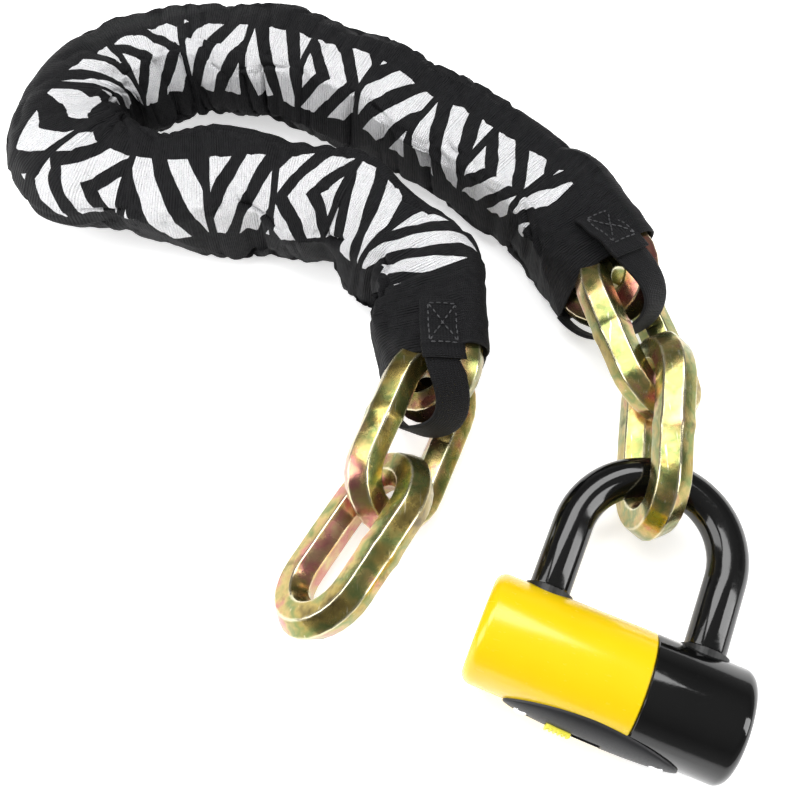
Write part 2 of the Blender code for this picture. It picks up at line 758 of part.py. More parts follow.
def make_keyway(bench, place):
    outer = BODY_DIAMETER / 2 + PLATE_PROUD
    inner = plate_inner()
    half = PLATE_LENGTH / 2 + 2
    plate = rod("keyway_plate", outer, LEG_OFFSET - half, LEG_OFFSET + half, axis="X", sides=64)
    plate = bench.part("keyway_plate", plate, "matte_black", place, "lock_case")
    bench.cut(
        plate,
        lens_mesh("lens", PLATE_LENGTH, PLATE_HEIGHT, -outer - 5, -inner / 2, at=LEG_OFFSET),
        "INTERSECT",
    )
    bench.cut(plate, rod("back", inner, LEG_OFFSET - half - 5, LEG_OFFSET + half + 5, axis="X"))
    bench.cut(plate, rod("keyhole", CORE_NOSE + 0.4, -outer - 5, 0, at=(LEG_OFFSET, 0), sides=24))
    tab_x, tab_z = TAB_SIZE
    open_at = LEG_OFFSET - TAB_TRAVEL
    floor = outer - 1.3
    track_low = (open_at - tab_x / 2 - GAP, -outer - 5, -tab_z / 2 - GAP)
    track_high = (LEG_OFFSET + tab_x / 2 + GAP, -floor, tab_z / 2 + GAP)
    bench.cut(plate, block("track", track_low, track_high))
    for x in rivet_places():
        bench.cut(plate, rod("rivet_hole", RIVET_SHANK + GAP, -outer - 5, 0, at=(x, 0), sides=16))
    tab_low = (open_at - tab_x / 2, -floor - GAP - TAB_THICKNESS, -tab_z / 2)
    tab_high = (open_at + tab_x / 2, -floor - GAP, tab_z / 2)
    tab = bench.part("dust_cover", block("dust_cover", tab_low, tab_high), "yellow", place, "dust_cover")
    rounding = tab.modifiers.new("rounding", "BEVEL")
    rounding.width = 0.5 * MM
    rounding.segments = 2
    for side, x in zip(("left", "right"), rivet_places()):
        shank = rod("rivet", RIVET_SHANK, -outer - 0.8, -rivet_foot() - GAP, at=(x, 0), sides=16)
        rivet = bench.part(f"rivet_{side}", shank, "steel", place, "lock_case")
        head = rod("head", RIVET_HEAD, -outer - 1.2, -outer - GAP, at=(x, 0), sides=16)
        bench.cut(rivet, head, "UNION")


# ---------------------------------------------------------------- assembly


def stand_on_origin(bench):
    """Moves everything so that the middle of the model's base is the origin."""
    graph = bpy.context.evaluated_depsgraph_get()
    corners = []
    for obj in bench.parts.objects:
        if obj.type == "MESH":
            seen = obj.evaluated_get(graph)
            corners += [seen.matrix_world @ vert.co for vert in seen.data.vertices]
    low = Vector(min(corner[axis] for corner in corners) for axis in range(3))
    high = Vector(max(corner[axis] for corner in corners) for axis in range(3))
    base = Vector(((low.x + high.x) / 2, (low.y + high.y) / 2, low.z))
    bench.pivots["sleeve_back"].location -= base
    bpy.context.view_layer.update()


def place_at(point):
    return Matrix.Translation(Vector(point) * MM)


def make_chain(bench, poses):
    """Links, sleeve and keepers, group by group outward from the back run of the sleeve."""
    groups = (
        # name, parent, first and last link, joint at
        ("sleeve_back", None, 10, 12, 9),
        ("sleeve_turn", "sleeve_back", 7, 9, 9),
        ("sleeve_front", "sleeve_turn", 5, 6, 6),
        ("sleeve_left_end", "sleeve_front", 3, 4, 4),
        ("link_02", "sleeve_left_end", 2, 2, 2),
        ("link_01", "link_02", 1, 1, 1),
        ("sleeve_right_end", "sleeve_back", 13, 14, 12),
        ("link_15", "sleeve_right_end", 15, 15, 14),
        ("link_16", "link_15", 16, 16, 15),
    )
    shape = link_mesh()
    sleeves = {}
    for name, parent, first, last, joint in groups:
        bench.pivot(name, place_at(poses[joint - 1].joint), parent)
        for number in range(first, last + 1):
            bench.part(f"link_{number:02d}", shape, "zinc", poses[number - 1].place(), name)
        if first < last:
            mouths = (name == "sleeve_left_end", name == "sleeve_right_end")
            sleeves[name] = sleeve_rings(poses, first, last, *mouths, name == "sleeve_turn")
            bench.part(name, sleeve_mesh(name, sleeves[name]), "nylon", Matrix.Identity(4), name)
    for name, number, outward, holder in (
        ("strap_left", 3, -1, "sleeve_left_end"),
        ("strap_right", 14, 1, "sleeve_right_end"),
    ):
        rings = sleeves[holder][:2] if outward < 0 else sleeves[holder][-2:]
        mesh = strap_mesh(name, poses[number - 1], outward, rings)
        bench.part(name, mesh, "webbing", Matrix.Identity(4), holder)


def make_lock(bench, last):
    place = lock_place(last)
    bar = SHACKLE_STEEL / 2 + SHACKLE_COAT
    hook = last.centre + (LINK_LENGTH_INSIDE / 2 - bar) * last.along()
    bench.pivot("shackle", place_at(hook), "link_16")
    bench.pivot("lock_case", place, "shackle")
    core_place = place @ place_at((LEG_OFFSET, BOLT_LEVEL, 0))
    bench.pivot("cylinder_core", core_place, "lock_case")
    for side in ("left", "right"):
        bench.pivot(f"bolt_{side}", core_place, "lock_case")
    bench.pivot("dust_cover", place, "lock_case")
    make_shackle(bench, place)
    make_body(bench, place)
    make_cover(bench, place, "yellow_cover", "yellow", -1, -(COVER_SEAM - GAP / 2))
    make_cover(bench, place, "black_cover", "gloss_black", 1, COVER_SEAM + GAP / 2)
    make_seals(bench, place)
    make_cylinder(bench, place)
    make_bolts(bench, place)
    make_keyway(bench, place)


def main():
    clear_scene()
    bench = Bench()
    poses = lay_chain()
    make_chain(bench, poses)
    make_lock(bench, poses[-1])
    stand_on_origin(bench)


main()
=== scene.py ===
import json
from math import asin, atan2, copysign, cos, degrees, exp, pi, radians, sin, sqrt

import bmesh
import bpy
import numpy as np
from mathutils import Matrix, Vector, noise

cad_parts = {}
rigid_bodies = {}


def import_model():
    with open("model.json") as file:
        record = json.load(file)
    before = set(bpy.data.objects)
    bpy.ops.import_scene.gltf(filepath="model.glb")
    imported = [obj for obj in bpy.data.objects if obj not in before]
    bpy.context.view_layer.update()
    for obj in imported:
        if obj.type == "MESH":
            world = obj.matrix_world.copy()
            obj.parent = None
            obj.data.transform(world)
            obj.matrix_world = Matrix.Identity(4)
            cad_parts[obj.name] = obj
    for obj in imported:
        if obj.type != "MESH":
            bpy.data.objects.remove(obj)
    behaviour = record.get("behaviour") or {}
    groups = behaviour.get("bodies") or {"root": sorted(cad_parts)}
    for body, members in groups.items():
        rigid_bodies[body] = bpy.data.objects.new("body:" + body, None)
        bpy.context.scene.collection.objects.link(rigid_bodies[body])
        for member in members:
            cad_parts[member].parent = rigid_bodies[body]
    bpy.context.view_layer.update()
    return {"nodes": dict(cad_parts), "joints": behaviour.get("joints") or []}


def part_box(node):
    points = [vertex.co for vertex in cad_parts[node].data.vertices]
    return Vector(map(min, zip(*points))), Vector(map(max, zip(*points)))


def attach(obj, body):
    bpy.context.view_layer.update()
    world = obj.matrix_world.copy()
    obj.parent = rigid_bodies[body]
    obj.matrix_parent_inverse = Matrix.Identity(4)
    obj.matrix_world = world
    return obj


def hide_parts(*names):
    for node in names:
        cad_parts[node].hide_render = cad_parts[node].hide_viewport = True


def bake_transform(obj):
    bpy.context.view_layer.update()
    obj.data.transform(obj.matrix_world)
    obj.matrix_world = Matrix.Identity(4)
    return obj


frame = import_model()

MM = 0.001
UP = Vector((0, 0, 1))

# Sizes shared with the CAD model, in millimetres
BAR_FLATS = 13.0
BAR_CORNER = BAR_FLATS / sqrt(3)
LINK_LENGTH_INSIDE = 50.0
LINK_WIDTH_INSIDE = 18.0
BODY_DIAMETER = 40.0
BODY_LENGTH = 92.0
COVER_WALL = 1.2
COVER_SEAM = 11.4
COVER_EDGE = 4.0
SHACKLE_DIAMETER = 14.6
LEG_SPACING = 56.0
LEG_OFFSET = 0.6
LEG_FREE = 26.5
PLATE_LENGTH = 60.0
PLATE_HEIGHT = 22.0
PLATE_RIM = 20.5  # outside of the plate's edge, from the lock's middle
PLATE_CROWN = 2.5  # how far its middle swells beyond the edge
RIVET_SEAT = 21.4
TAB_SIZE = (8.6, 6.4)
TAB_TRAVEL = 10.0
RIVET_SPACING = 47.0
SLEEVE_LINKS = (3, 14)
TURN_LINKS = (7, 9)

# The sleeve's cloth
FABRIC_PLAY = 0.9  # room between the bars and the cloth
FABRIC_HEIGHT = 45.0  # greatest height of the cloth when pressed down
FABRIC_AROUND = 112  # points in a ring
FABRIC_STEPS = 14  # rings between two cuts
ROW_SPACING = 1.6  # between the rings of the finished cloth
RELAX_PASSES = 26
ROUNDING = 0.93  # how nearly the cloth fills out to an oval round its own width and height
TURN_TUCK = 4.5  # how far the cloth is drawn in round the outside of the tight turn
FOLD_ROOM = 25.0  # from the middle of a link to the fold line inside the tight turn
MOUTH_REACH = 17.0  # from the middle of an end link to the mouth
CALM_REACH = 14.0  # from a mouth to the first full creases
HEM_DEPTH = 12.0
CLOTH_REST = 0.6  # height at which the cloth's underside is laid down
CLOTH_FLOOR = 0.4  # least height of the creased cloth
BAR_ROOM = 1.5  # least room between the cloth and the bar of an end link
SLEEVE_RADIUS = 24.0
BLEND_REACH = 9.0  # half the length of cloth that bends with a joint

# The sleeve's print
PRINT_LEAN = 0.75  # how far the print turns from the top of the sleeve to the camera
PRINT_CELL = 30.0
PRINT_GAP = 1.6  # bare edge at each end of a cell
PRINT_HALF_HEIGHT = 18.5
PRINT_MARGIN = 32.0  # bare cloth at each mouth
PRINT_WANDER = 3.0
BAR_PITCH = 15.0
BAR_SHARE = 0.55  # of the pitch that is pale
CHEVRON_SLOPE = 0.75
FORWARD_SLOPE = 0.55
BACKWARD_SLOPE = 0.4
UV_UNIT = 100.0  # millimetres of cloth in one unit of UV

# Webbing keepers
STRAP_WIDTH = 14.6
STRAP_THICKNESS = 1.6
STRAP_PATCH = 19.0  # length that is sewn on top of the sleeve
STRAP_PLAY = 1.1
STRAP_LEAN = 9.0  # degrees that the sewn part leans to the side
TAIL_TUCK = 0.5  # share of its width that the webbing's tail is folded away inside the mouth
SEWN_STEPS = 10
LOOP_STEPS = 44
PATCH_STATIONS = (1, 13)  # first and last station of the second layer
PATCH_EXTRA = 2.0  # how much wider the second layer is
STITCH_MARGIN = 2.0
STITCH_PITCH = 2.6
STITCH_HALF_SIZE = (1.0, 0.32, 0.26)

# Links as drawn
CORNER_ROUNDING = 1.1
CORNER_SHARE = 0.3  # of a flat, in the UV, that one rounded corner takes
COVERED_SLIM = 2.4  # taken off the radius of the end links' bars inside the sleeve
SLIM_RUN = 8.0  # length over which the bar gets slimmer
WELD_RISE = 0.45
WELD_HALF_WIDTH = 2.2
FORGED_WAVE = 0.16
FORGED_SINK = 0.1

# Lock as drawn
JACKET_GAP = 0.05  # from the middle of the seam to the edge of a cover
LEG_ROOM = 1.7  # between a leg and the hole in its cover
PLATE_SWELL = (0.4, 0.2)  # how far the plate's rim reaches past its CAD length and height
PLATE_ROOM = 0.6  # how much longer and higher than the CAD plate the hole in the covers is
PLATE_FOOT = 2.5  # depth of the plate's rim under the covers' outside
PLATE_RECESS = 1.8  # depth of the slider's track
SLIDER_GAP = 0.3
SLIDER_DEPTH = 2.6
KEYHOLE_RADIUS = 3.6
RIVET_HOLE_RADIUS = 3.1
RIB_PITCH = 1.5
RIB_GROOVE = (0.35, 0.55)  # half width and depth of the grooves between the slider's ribs
CUT_PAST = 5.0  # how far a cutting tool reaches past the surface
SHARP_ANGLE = 50

# Camera
CAMERA_LENS = 45
CAMERA_TILT = 25  # degrees off the vertical
CAMERA_FROM_LINK = (16.5, -105.5, 347.5)  # from the middle of the free end link
FLOOR_REACH = 3.0  # metres


# ---------------- camera, light, floor


def in_scene(name, data):
    made = bpy.data.objects.new(name, data)
    bpy.context.scene.collection.objects.link(made)
    return made


def make_camera():
    """Looks steeply down on the chain from in front of it."""
    low, high = (Vector(corner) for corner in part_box("link_01"))
    data = bpy.data.cameras.new("camera")
    data.lens = CAMERA_LENS
    data.sensor_width = 36
    data.clip_start = 0.01
    camera = in_scene("camera", data)
    camera.location = (low + high) / 2 + Vector(CAMERA_FROM_LINK) * MM
    camera.rotation_euler = (radians(CAMERA_TILT), 0, 0)
    bpy.context.scene.camera = camera


def make_lamp(name, place, target, size, power):
    data = bpy.data.lights.new(name, "AREA")
    data.shape = "RECTANGLE"
    data.size, data.size_y = size
    data.energy = power
    lamp = in_scene(name, data)
    lamp.location = place
    lamp.rotation_euler = (Vector(target) - Vector(place)).to_track_quat("-Z", "Y").to_euler()


def make_studio():
    scene = bpy.context.scene
    scene.view_settings.view_transform = "Standard"
    world = bpy.data.worlds.new("studio")
    scene.world = world
    world.use_nodes = True
    tree = Tree(world.node_tree)
    spread = tree.add("ShaderNodeTexCoord")
    split = tree.add("ShaderNodeSeparateXYZ", {0: spread.outputs["Generated"]})
    greys = ((0.0, 0.62), (0.5, 0.25), (1.0, 0.5))
    sky = tree.ramp(split.outputs["Z"], [(place, (grey, grey, grey)) for place, grey in greys])
    tree.wire(tree.nodes["Background"], {"Color": sky, "Strength": 0.55})
    make_lamp("top_light", (-0.1, 0.25, 0.9), (0, 0, 0), (0.9, 0.5), 8)
    make_lamp("left_light", (-0.75, -0.15, 0.5), (0, 0, 0), (0.5, 0.7), 4.5)
    make_lamp("right_light", (0.8, -0.35, 0.55), (0.05, -0.05, 0), (0.3, 0.8), 4.5)
    floor_mesh = bpy.data.meshes.new("floor")
    signs = ((-1, -1), (1, -1), (1, 1), (-1, 1))
    corners = [(x * FLOOR_REACH, y * FLOOR_REACH, 0) for x, y in signs]
    floor_mesh.from_pydata(corners, [], [(0, 1, 2, 3)])
    floor = in_scene("floor", floor_mesh)
    floor.data.materials.append(floor_material())


# ---------------- material helpers


class Tree:
    """Short ways to add and join shader nodes."""

    def __init__(self, tree):
        self.tree = tree
        self.nodes = tree.nodes

    def wire(self, node, inputs):
        """Links each socket or sets each plain value on the node's inputs."""
        for key, value in inputs.items():
            socket = node.inputs[key]
            if isinstance(value, bpy.types.NodeSocket):
                self.tree.links.new(value, socket)
            else:
                socket.default_value = (*value, 1.0) if socket.type == "RGBA" else value

    def add(self, kind, inputs=None, **settings):
        node = self.nodes.new(kind)
        for key, value in settings.items():
            setattr(node, key, value)
        self.wire(node, inputs or {})
        return node

    def math(self, operation, *values):
        return self.add("ShaderNodeMath", dict(enumerate(values)), operation=operation).outputs[0]

    def times(self, *values):
        product = values[0]
        for value in values[1:]:
            product = self.math("MULTIPLY", product, value)
        return product

    def plus(self, first, second):
        return self.math("ADD", first, second)

    def minus(self, first, second):
        return self.math("SUBTRACT", first, second)

    def wave(self, value, period):
        return self.math("SINE", self.times(value, 2 * pi / period))

    def mix(self, share, first, second):
        inputs = {"Factor": share, 6: first, 7: second}
        return self.add("ShaderNodeMix", inputs, data_type="RGBA").outputs[2]

    def ramp(self, value, stops):
        node = self.add("ShaderNodeValToRGB", {0: value})
        elements = node.color_ramp.elements
        while len(elements) < len(stops):
            elements.new(0.5)
        for element, (place, color) in zip(elements, stops):
            element.position = place
            element.color = (*color, 1.0)
        return node.outputs["Color"]

    def mottle(self, value, dark, light, end=0.7):
        """Two colours, mixed by a noise value."""
        return self.ramp(value, [(0.3, dark), (end, light)])

    def noise(self, where, scale, detail=3.0, rough=0.5):
        inputs = {"Vector": where, "Scale": scale, "Detail": detail, "Roughness": rough}
        return self.add("ShaderNodeTexNoise", inputs).outputs["Fac"]

    def stretch(self, where, scale):
        return self.add("ShaderNodeMapping", {"Vector": where, "Scale": scale}).outputs[0]

    def bump(self, height, distance, strength=1.0, normal=None):
        inputs = {"Height": height, "Distance": distance, "Strength": strength}
        if normal:
            inputs["Normal"] = normal
        return self.add("ShaderNodeBump", inputs).outputs[0]

    def span(self, value, low, high, to_low=0.0, to_high=1.0):
        inputs = {0: value, 1: low, 2: high, 3: to_low, 4: to_high}
        return self.add("ShaderNodeMapRange", inputs).outputs[0]

    def place(self):
        return self.add("ShaderNodeTexCoord").outputs["Object"]

    def cloth_place(self):
        """The cloth's UV, and its two parts in millimetres."""
        where = self.add("ShaderNodeTexCoord").outputs["UV"]
        split = self.add("ShaderNodeSeparateXYZ", {0: where})
        return where, *(self.times(split.outputs[key], UV_UNIT) for key in ("X", "Y"))


class Surface(Tree):
    """The shader nodes of a new material."""

    def __init__(self, name):
        self.made = bpy.data.materials.new(name)
        self.made.use_nodes = True
        super().__init__(self.made.node_tree)

    def finish(self, **inputs):
        """Sets the shader's inputs, named with _ for a space, and gives the material."""
        named = {key.replace("_", " "): value for key, value in inputs.items()}
        self.wire(self.nodes["Principled BSDF"], named)
        return self.made


def floor_material():
    tree = Surface("pale_floor")
    tint = tree.mottle(tree.noise(tree.place(), 3.0), (0.93, 0.93, 0.93), (0.96, 0.96, 0.96))
    glow = {"Emission_Color": tint, "Emission_Strength": 0.6}
    return tree.finish(Base_Color=tint, **glow, Roughness=0.9, Specular_IOR_Level=0.1)


def zinc_material():
    """Yellow passivated zinc: gold and olive with green and pink bloom, and a painted highlight on the
    rounded edges.
    """
    tree = Surface("yellow_zinc")
    coords = tree.add("ShaderNodeTexCoord")
    place = coords.outputs["Object"]
    stops = [
        (0.30, (0.12, 0.085, 0.03)),
        (0.40, (0.38, 0.29, 0.085)),
        (0.48, (0.19, 0.23, 0.075)),
        (0.55, (0.46, 0.35, 0.13)),
        (0.62, (0.46, 0.18, 0.16)),
        (0.74, (0.52, 0.44, 0.20)),
    ]
    film = tree.ramp(tree.noise(place, 38.0, 4.0, 0.6), stops)
    dirt = tree.span(tree.noise(place, 95.0, 5.0, 0.65), 0.58, 0.72)
    color = tree.mix(tree.times(dirt, 0.55), film, (0.09, 0.065, 0.03))
    # Painted highlight: the rounded corners of the bar are mixed towards pale gold, with a noise wobble in
    # how far it reaches.
    around = tree.add("ShaderNodeSeparateXYZ", {0: coords.outputs["UV"]}).outputs["Y"]
    from_flat = tree.math("ABSOLUTE", tree.minus(tree.math("FRACT", around), 0.5))
    wobble = tree.times(tree.noise(place, 240.0, 3.0), 0.18)
    bright = tree.span(tree.plus(from_flat, wobble), 0.28, 0.14)
    color = tree.mix(tree.times(bright, 0.6), color, (0.86, 0.80, 0.58))
    scratch_place = tree.stretch(place, (900.0, 60.0, 500.0))
    scratches = tree.span(tree.noise(scratch_place, 1.0, 2.0), 0.66, 0.72)
    color = tree.mix(tree.times(scratches, 0.35), color, (0.92, 0.88, 0.72))
    rough = tree.span(tree.noise(place, 120.0, 4.0), 0.3, 0.7, 0.14, 0.32)
    rough = tree.plus(rough, tree.times(dirt, 0.2))
    grain = tree.bump(tree.noise(place, 700.0, 4.0, 0.6), 0.00006, 0.5)
    dents = tree.bump(tree.noise(place, 110.0, 2.0), 0.0005, 0.35, grain)
    return tree.finish(Base_Color=color, Metallic=0.92, Roughness=rough, Normal=dents)


def print_ink(tree, where, along, around, length):
    """1 where the print is: cells of chevrons, forward bars and backward bars in turn."""
    wander = tree.minus(tree.noise(where, 9.0, 2.0), 0.5)
    across = tree.plus(around, tree.times(wander, PRINT_WANDER))
    height = tree.math("ABSOLUTE", across)
    cell = tree.math("DIVIDE", along, PRINT_CELL)
    inside = tree.times(tree.math("FRACT", cell), PRINT_CELL)
    kind = tree.math("MODULO", tree.math("FLOOR", cell), 3.0)
    chevron = tree.plus(inside, tree.times(height, CHEVRON_SLOPE))
    forward = tree.plus(inside, tree.times(across, FORWARD_SLOPE))
    backward = tree.minus(inside, tree.times(across, BACKWARD_SLOPE))
    is_chevron = tree.math("LESS_THAN", kind, 0.5)
    is_backward = tree.math("GREATER_THAN", kind, 1.5)
    is_forward = tree.minus(1.0, tree.plus(is_chevron, is_backward))
    drawn = tree.plus(tree.times(chevron, is_chevron), tree.times(backward, is_backward))
    drawn = tree.plus(drawn, tree.times(forward, is_forward))
    period = tree.math("FRACT", tree.plus(tree.math("DIVIDE", drawn, BAR_PITCH), 5.0))
    limits = (
        ("LESS_THAN", period, BAR_SHARE),
        ("LESS_THAN", height, PRINT_HALF_HEIGHT),
        ("GREATER_THAN", inside, PRINT_GAP),
        ("LESS_THAN", inside, PRINT_CELL - PRINT_GAP),
        ("GREATER_THAN", along, PRINT_MARGIN),
        ("LESS_THAN", along, length - PRINT_MARGIN),
    )
    wear = tree.span(tree.noise(where, 260.0, 4.0, 0.7), 0.34, 0.42)
    return tree.times(*(tree.math(*limit) for limit in limits), wear)


def fabric_material(length):
    """Black ballistic nylon with a pale, rubbed print, and a painted highlight on the tops of its threads.

    The cloth's UV holds its distance along the sleeve in U and from the top of it in V.
    """
    tree = Surface("printed_nylon")
    where, along, around = tree.cloth_place()
    ink = print_ink(tree, where, along, around, length)
    rib = tree.wave(along, 0.95)
    thread = tree.times(rib, tree.wave(around, 0.8))
    mottling = tree.noise(where, 30.0, 5.0, 0.6)
    cloth = tree.mottle(mottling, (0.003, 0.003, 0.004), (0.011, 0.011, 0.012), 0.75)
    # Painted highlight: the tops of the woven threads are mixed towards a paler grey.
    cloth = tree.mix(tree.span(thread, 0.2, 1.0, 0.0, 0.5), cloth, (0.014, 0.014, 0.016))
    white = tree.mottle(tree.noise(where, 60.0, 4.0), (0.74, 0.74, 0.76), (0.86, 0.86, 0.87))
    white = tree.mix(tree.span(rib, -1.0, 0.2, 0.22, 0.0), white, (0.45, 0.45, 0.47))
    weave = tree.bump(tree.plus(rib, tree.times(thread, 0.6)), 0.00022, 0.8)
    crumple = tree.noise(tree.stretch(where, (14.0, 6.0, 1.0)), 2.0, 4.0)
    return tree.finish(
        Base_Color=tree.mix(ink, cloth, white),
        Roughness=tree.span(ink, 0.0, 1.0, 0.7, 0.5),
        Specular_IOR_Level=0.22,
        Normal=tree.bump(crumple, 0.003, 0.35, weave),
    )


def webbing_material():
    tree = Surface("ribbed_webbing")
    where, along, across = tree.cloth_place()
    rib = tree.wave(along, 0.7)
    fuzz = tree.noise(where, 200.0, 4.0)
    color = tree.mottle(fuzz, (0.003, 0.003, 0.004), (0.009, 0.009, 0.010), 0.75)
    ribs = tree.plus(rib, tree.times(tree.wave(across, 1.1), 0.6))
    # Painted highlight: the tops of the ribs are mixed towards a paler grey.
    return tree.finish(
        Base_Color=tree.mix(tree.span(rib, 0.0, 1.0, 0.0, 0.4), color, (0.016, 0.016, 0.018)),
        Roughness=tree.span(fuzz, 0.3, 0.7, 0.55, 0.8),
        Specular_IOR_Level=0.25,
        Normal=tree.bump(ribs, 0.0002, 0.8),
    )


def vinyl_material(name, dark, light, roughness):
    """Thick dip-moulded vinyl: glossy, faintly uneven, with a few fine scuffs."""
    tree = Surface(name)
    place = tree.place()
    scuff = tree.span(tree.noise(tree.stretch(place, (300.0, 900.0, 200.0)), 1.0, 3.0), 0.62, 0.72)
    haze = tree.span(tree.noise(place, 60.0, 4.0), 0.3, 0.8, roughness, roughness + 0.08)
    ripple = tree.bump(tree.noise(place, 55.0, 2.0), 0.0006, 0.25)
    return tree.finish(
        Base_Color=tree.mottle(tree.noise(place, 25.0), dark, light),
        Roughness=tree.plus(haze, tree.times(scuff, 0.12)),
        Coat_Weight=0.15,
        Coat_Roughness=0.08,
        Normal=tree.bump(tree.noise(place, 600.0, 3.0), 0.00003, 0.4, ripple),
    )


def plastic_material(name, dark, light):
    """Satin moulded plastic with a fine spark-eroded grain."""
    tree = Surface(name)
    place = tree.place()
    grain = tree.noise(place, 1600.0, 3.0)
    return tree.finish(
        Base_Color=tree.mottle(tree.noise(place, 90.0, 4.0), dark, light),
        Roughness=tree.span(grain, 0.3, 0.7, 0.38, 0.52),
        Normal=tree.bump(grain, 0.00004, 0.6),
    )


def metal_material(name, dark, light, roughness):
    """Machined metal with turned or ground lines."""
    tree = Surface(name)
    place = tree.place()
    lines = tree.noise(tree.stretch(place, (1500.0, 200.0, 1500.0)), 1.0, 3.0)
    return tree.finish(
        Base_Color=tree.mottle(tree.noise(place, 70.0, 4.0), dark, light),
        Metallic=1.0,
        Roughness=tree.span(lines, 0.3, 0.7, roughness, roughness + 0.15),
        Normal=tree.bump(lines, 0.00003, 0.6),
    )


# ---------------- mesh helpers


def settle(obj, body, replaced=()):
    """Parents a piece to the body that carries it, if one is given, and hides the CAD nodes that it stands
    for.
    """
    if body:
        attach(obj, body)
    if replaced:
        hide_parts(*replaced)


def add_object(name, mesh, finish, place=None):
    mesh.materials.clear()
    mesh.materials.append(finish)
    made = in_scene(name, mesh)
    if place:
        made.matrix_world = place
    return made


def add_piece(name, mesh, finish, body, replaced=()):
    made = add_object(name, mesh, finish)
    settle(made, body, replaced)
    return made


def to_mesh(shape, name):
    mesh = bpy.data.meshes.new(name)
    shape.to_mesh(mesh)
    shape.free()
    return mesh


def shade(mesh):
    """Smooth, with the real edges kept sharp."""
    mesh.shade_smooth()
    mesh.set_sharp_from_angle(angle=radians(SHARP_ANGLE))


def node_points(name):
    """The corners of a CAD node, in millimetres."""
    data = frame["nodes"][name].data
    points = np.empty(len(data.vertices) * 3)
    data.vertices.foreach_get("co", points)
    return points.reshape(-1, 3) / MM


def grid_mesh(name, rings, coordinates=None, caps=False):
    """A tube through rings of equal point count, in millimetres, with UV from coordinates."""
    shape = bmesh.new()
    uv = shape.loops.layers.uv.new("UVMap")
    rows = [[shape.verts.new(Vector(point) * MM) for point in ring] for ring in rings]
    count = len(rings[0])
    for row, (upper, lower) in enumerate(zip(rows, rows[1:])):
        for index in range(count):
            after = (index + 1) % count
            face = shape.faces.new((upper[index], upper[after], lower[after], lower[index]))
            if coordinates:
                corners = ((row, index), (row, index + 1), (row + 1, index + 1), (row + 1, index))
                for loop, corner in zip(face.loops, corners):
                    loop[uv].uv = coordinates(*corner)
    if caps:
        shape.faces.new(rows[0])
        shape.faces.new(rows[-1])
    bmesh.ops.recalc_face_normals(shape, faces=shape.faces)
    mesh = to_mesh(shape, name)
    mesh.shade_smooth()
    return mesh


def finished_mesh(obj):
    graph = bpy.context.evaluated_depsgraph_get()
    return bpy.data.meshes.new_from_object(obj.evaluated_get(graph))


def apply_modifiers(obj):
    mesh = finished_mesh(obj)
    obj.modifiers.clear()
    obj.data = mesh


# ---------------- links


class LinkPose:
    """Where a CAD link lies, measured from its own corners; lengths in millimetres."""

    def __init__(self, number):
        points = np.unique(node_points(f"link_{number:02d}").round(3), axis=0)
        axes = np.linalg.eigh(np.cov((points - points.mean(axis=0)).T))[1]
        axes = axes.T[::-1]
        spans = [points @ axis for axis in axes]
        centre = sum(axis * (span.max() + span.min()) / 2 for axis, span in zip(axes, spans))
        self.number = number
        self.centre = Vector(centre)
        self.along, self.across, self.normal = (Vector(axis).normalized() for axis in axes)

    def face_along(self, direction):
        if self.along.dot(direction) < 0:
            self.along.negate()
        if self.along.cross(self.across).dot(self.normal) < 0:
            self.normal.negate()

    def point(self, x, y, z=0.0):
        return self.centre + x * self.along + y * self.across + z * self.normal


def link_poses():
    poses = [LinkPose(number) for number in range(1, 17)]
    for pose, after in zip(poses, poses[1:]):
        pose.face_along(after.centre - pose.centre)
    poses[-1].face_along(poses[-1].centre - poses[-2].centre)
    return poses


def bar_line(arc_steps, straight_steps):
    """Middle line of a link's bar as (x, y, tangent angle), once round."""
    bend = LINK_WIDTH_INSIDE / 2 + BAR_CORNER
    straight = (LINK_LENGTH_INSIDE - LINK_WIDTH_INSIDE) / 2
    places = []
    for side, turned in ((1, 0.0), (-1, pi)):
        for step in range(arc_steps + 1):
            angle = pi * (step / arc_steps - 0.5)
            x = side * (straight + bend * cos(angle))
            places.append((x, side * bend * sin(angle), angle + turned))
        for step in range(1, straight_steps):
            share = 1 - 2 * step / straight_steps
            places.append((side * straight * share, side * bend, side * pi / 2))
    return places


def bar_section(steps_per_corner=3):
    """Rounded hexagon with two corners in the link's plane, as (out, up) and its share round."""
    inner = BAR_CORNER - CORNER_ROUNDING / cos(radians(30))
    places = []
    for corner in range(6):
        middle = radians(60 * corner)
        for step in range(steps_per_corner + 1):
            share = step / steps_per_corner - 0.5
            angle = middle + radians(60) * share
            out = inner * cos(middle) + CORNER_ROUNDING * cos(angle)
            up = inner * sin(middle) + CORNER_ROUNDING * sin(angle)
            places.append((out, up, corner + CORNER_SHARE * share))
    return places


def link_mesh(pose):
    """A hot-bent bar: slightly uneven, with a low weld collar half way down one side.

    The end links are slimmer where the sleeve hides them, so the cloth lies clear of them.
    """
    section = bar_section()
    seed = Vector((pose.number * 7.3, 1.7, 0.4))
    rings = []
    for x, y, angle in bar_line(14, 18):
        outward = Vector((cos(angle), sin(angle)))
        ring = []
        collar = WELD_RISE * exp(-((x / WELD_HALF_WIDTH) ** 2)) if y > 0 else 0.0
        inside = (1 if pose.number == SLEEVE_LINKS[0] else -1) * x + MOUTH_REACH
        covered = min(1.0, max(0.0, inside / SLIM_RUN)) if pose.number in SLEEVE_LINKS else 0.0
        for out, up, _ in section:
            wobble = noise.noise(Vector((x, y, 3 * up)) * 0.09 + seed) * FORGED_WAVE
            grow = 1 + (collar + wobble - FORGED_SINK - COVERED_SLIM * covered) / BAR_CORNER
            ring.append(pose.point(x + outward.x * out * grow, y + outward.y * out * grow, up * grow))
        rings.append(ring)
    rings.append(rings[0])

    def coordinates(row, index):
        share = section[index % len(section)][2] + (6 if index >= len(section) else 0)
        return row * 0.02, share + 0.5

    return grid_mesh(f"link_{pose.number}", rings, coordinates)


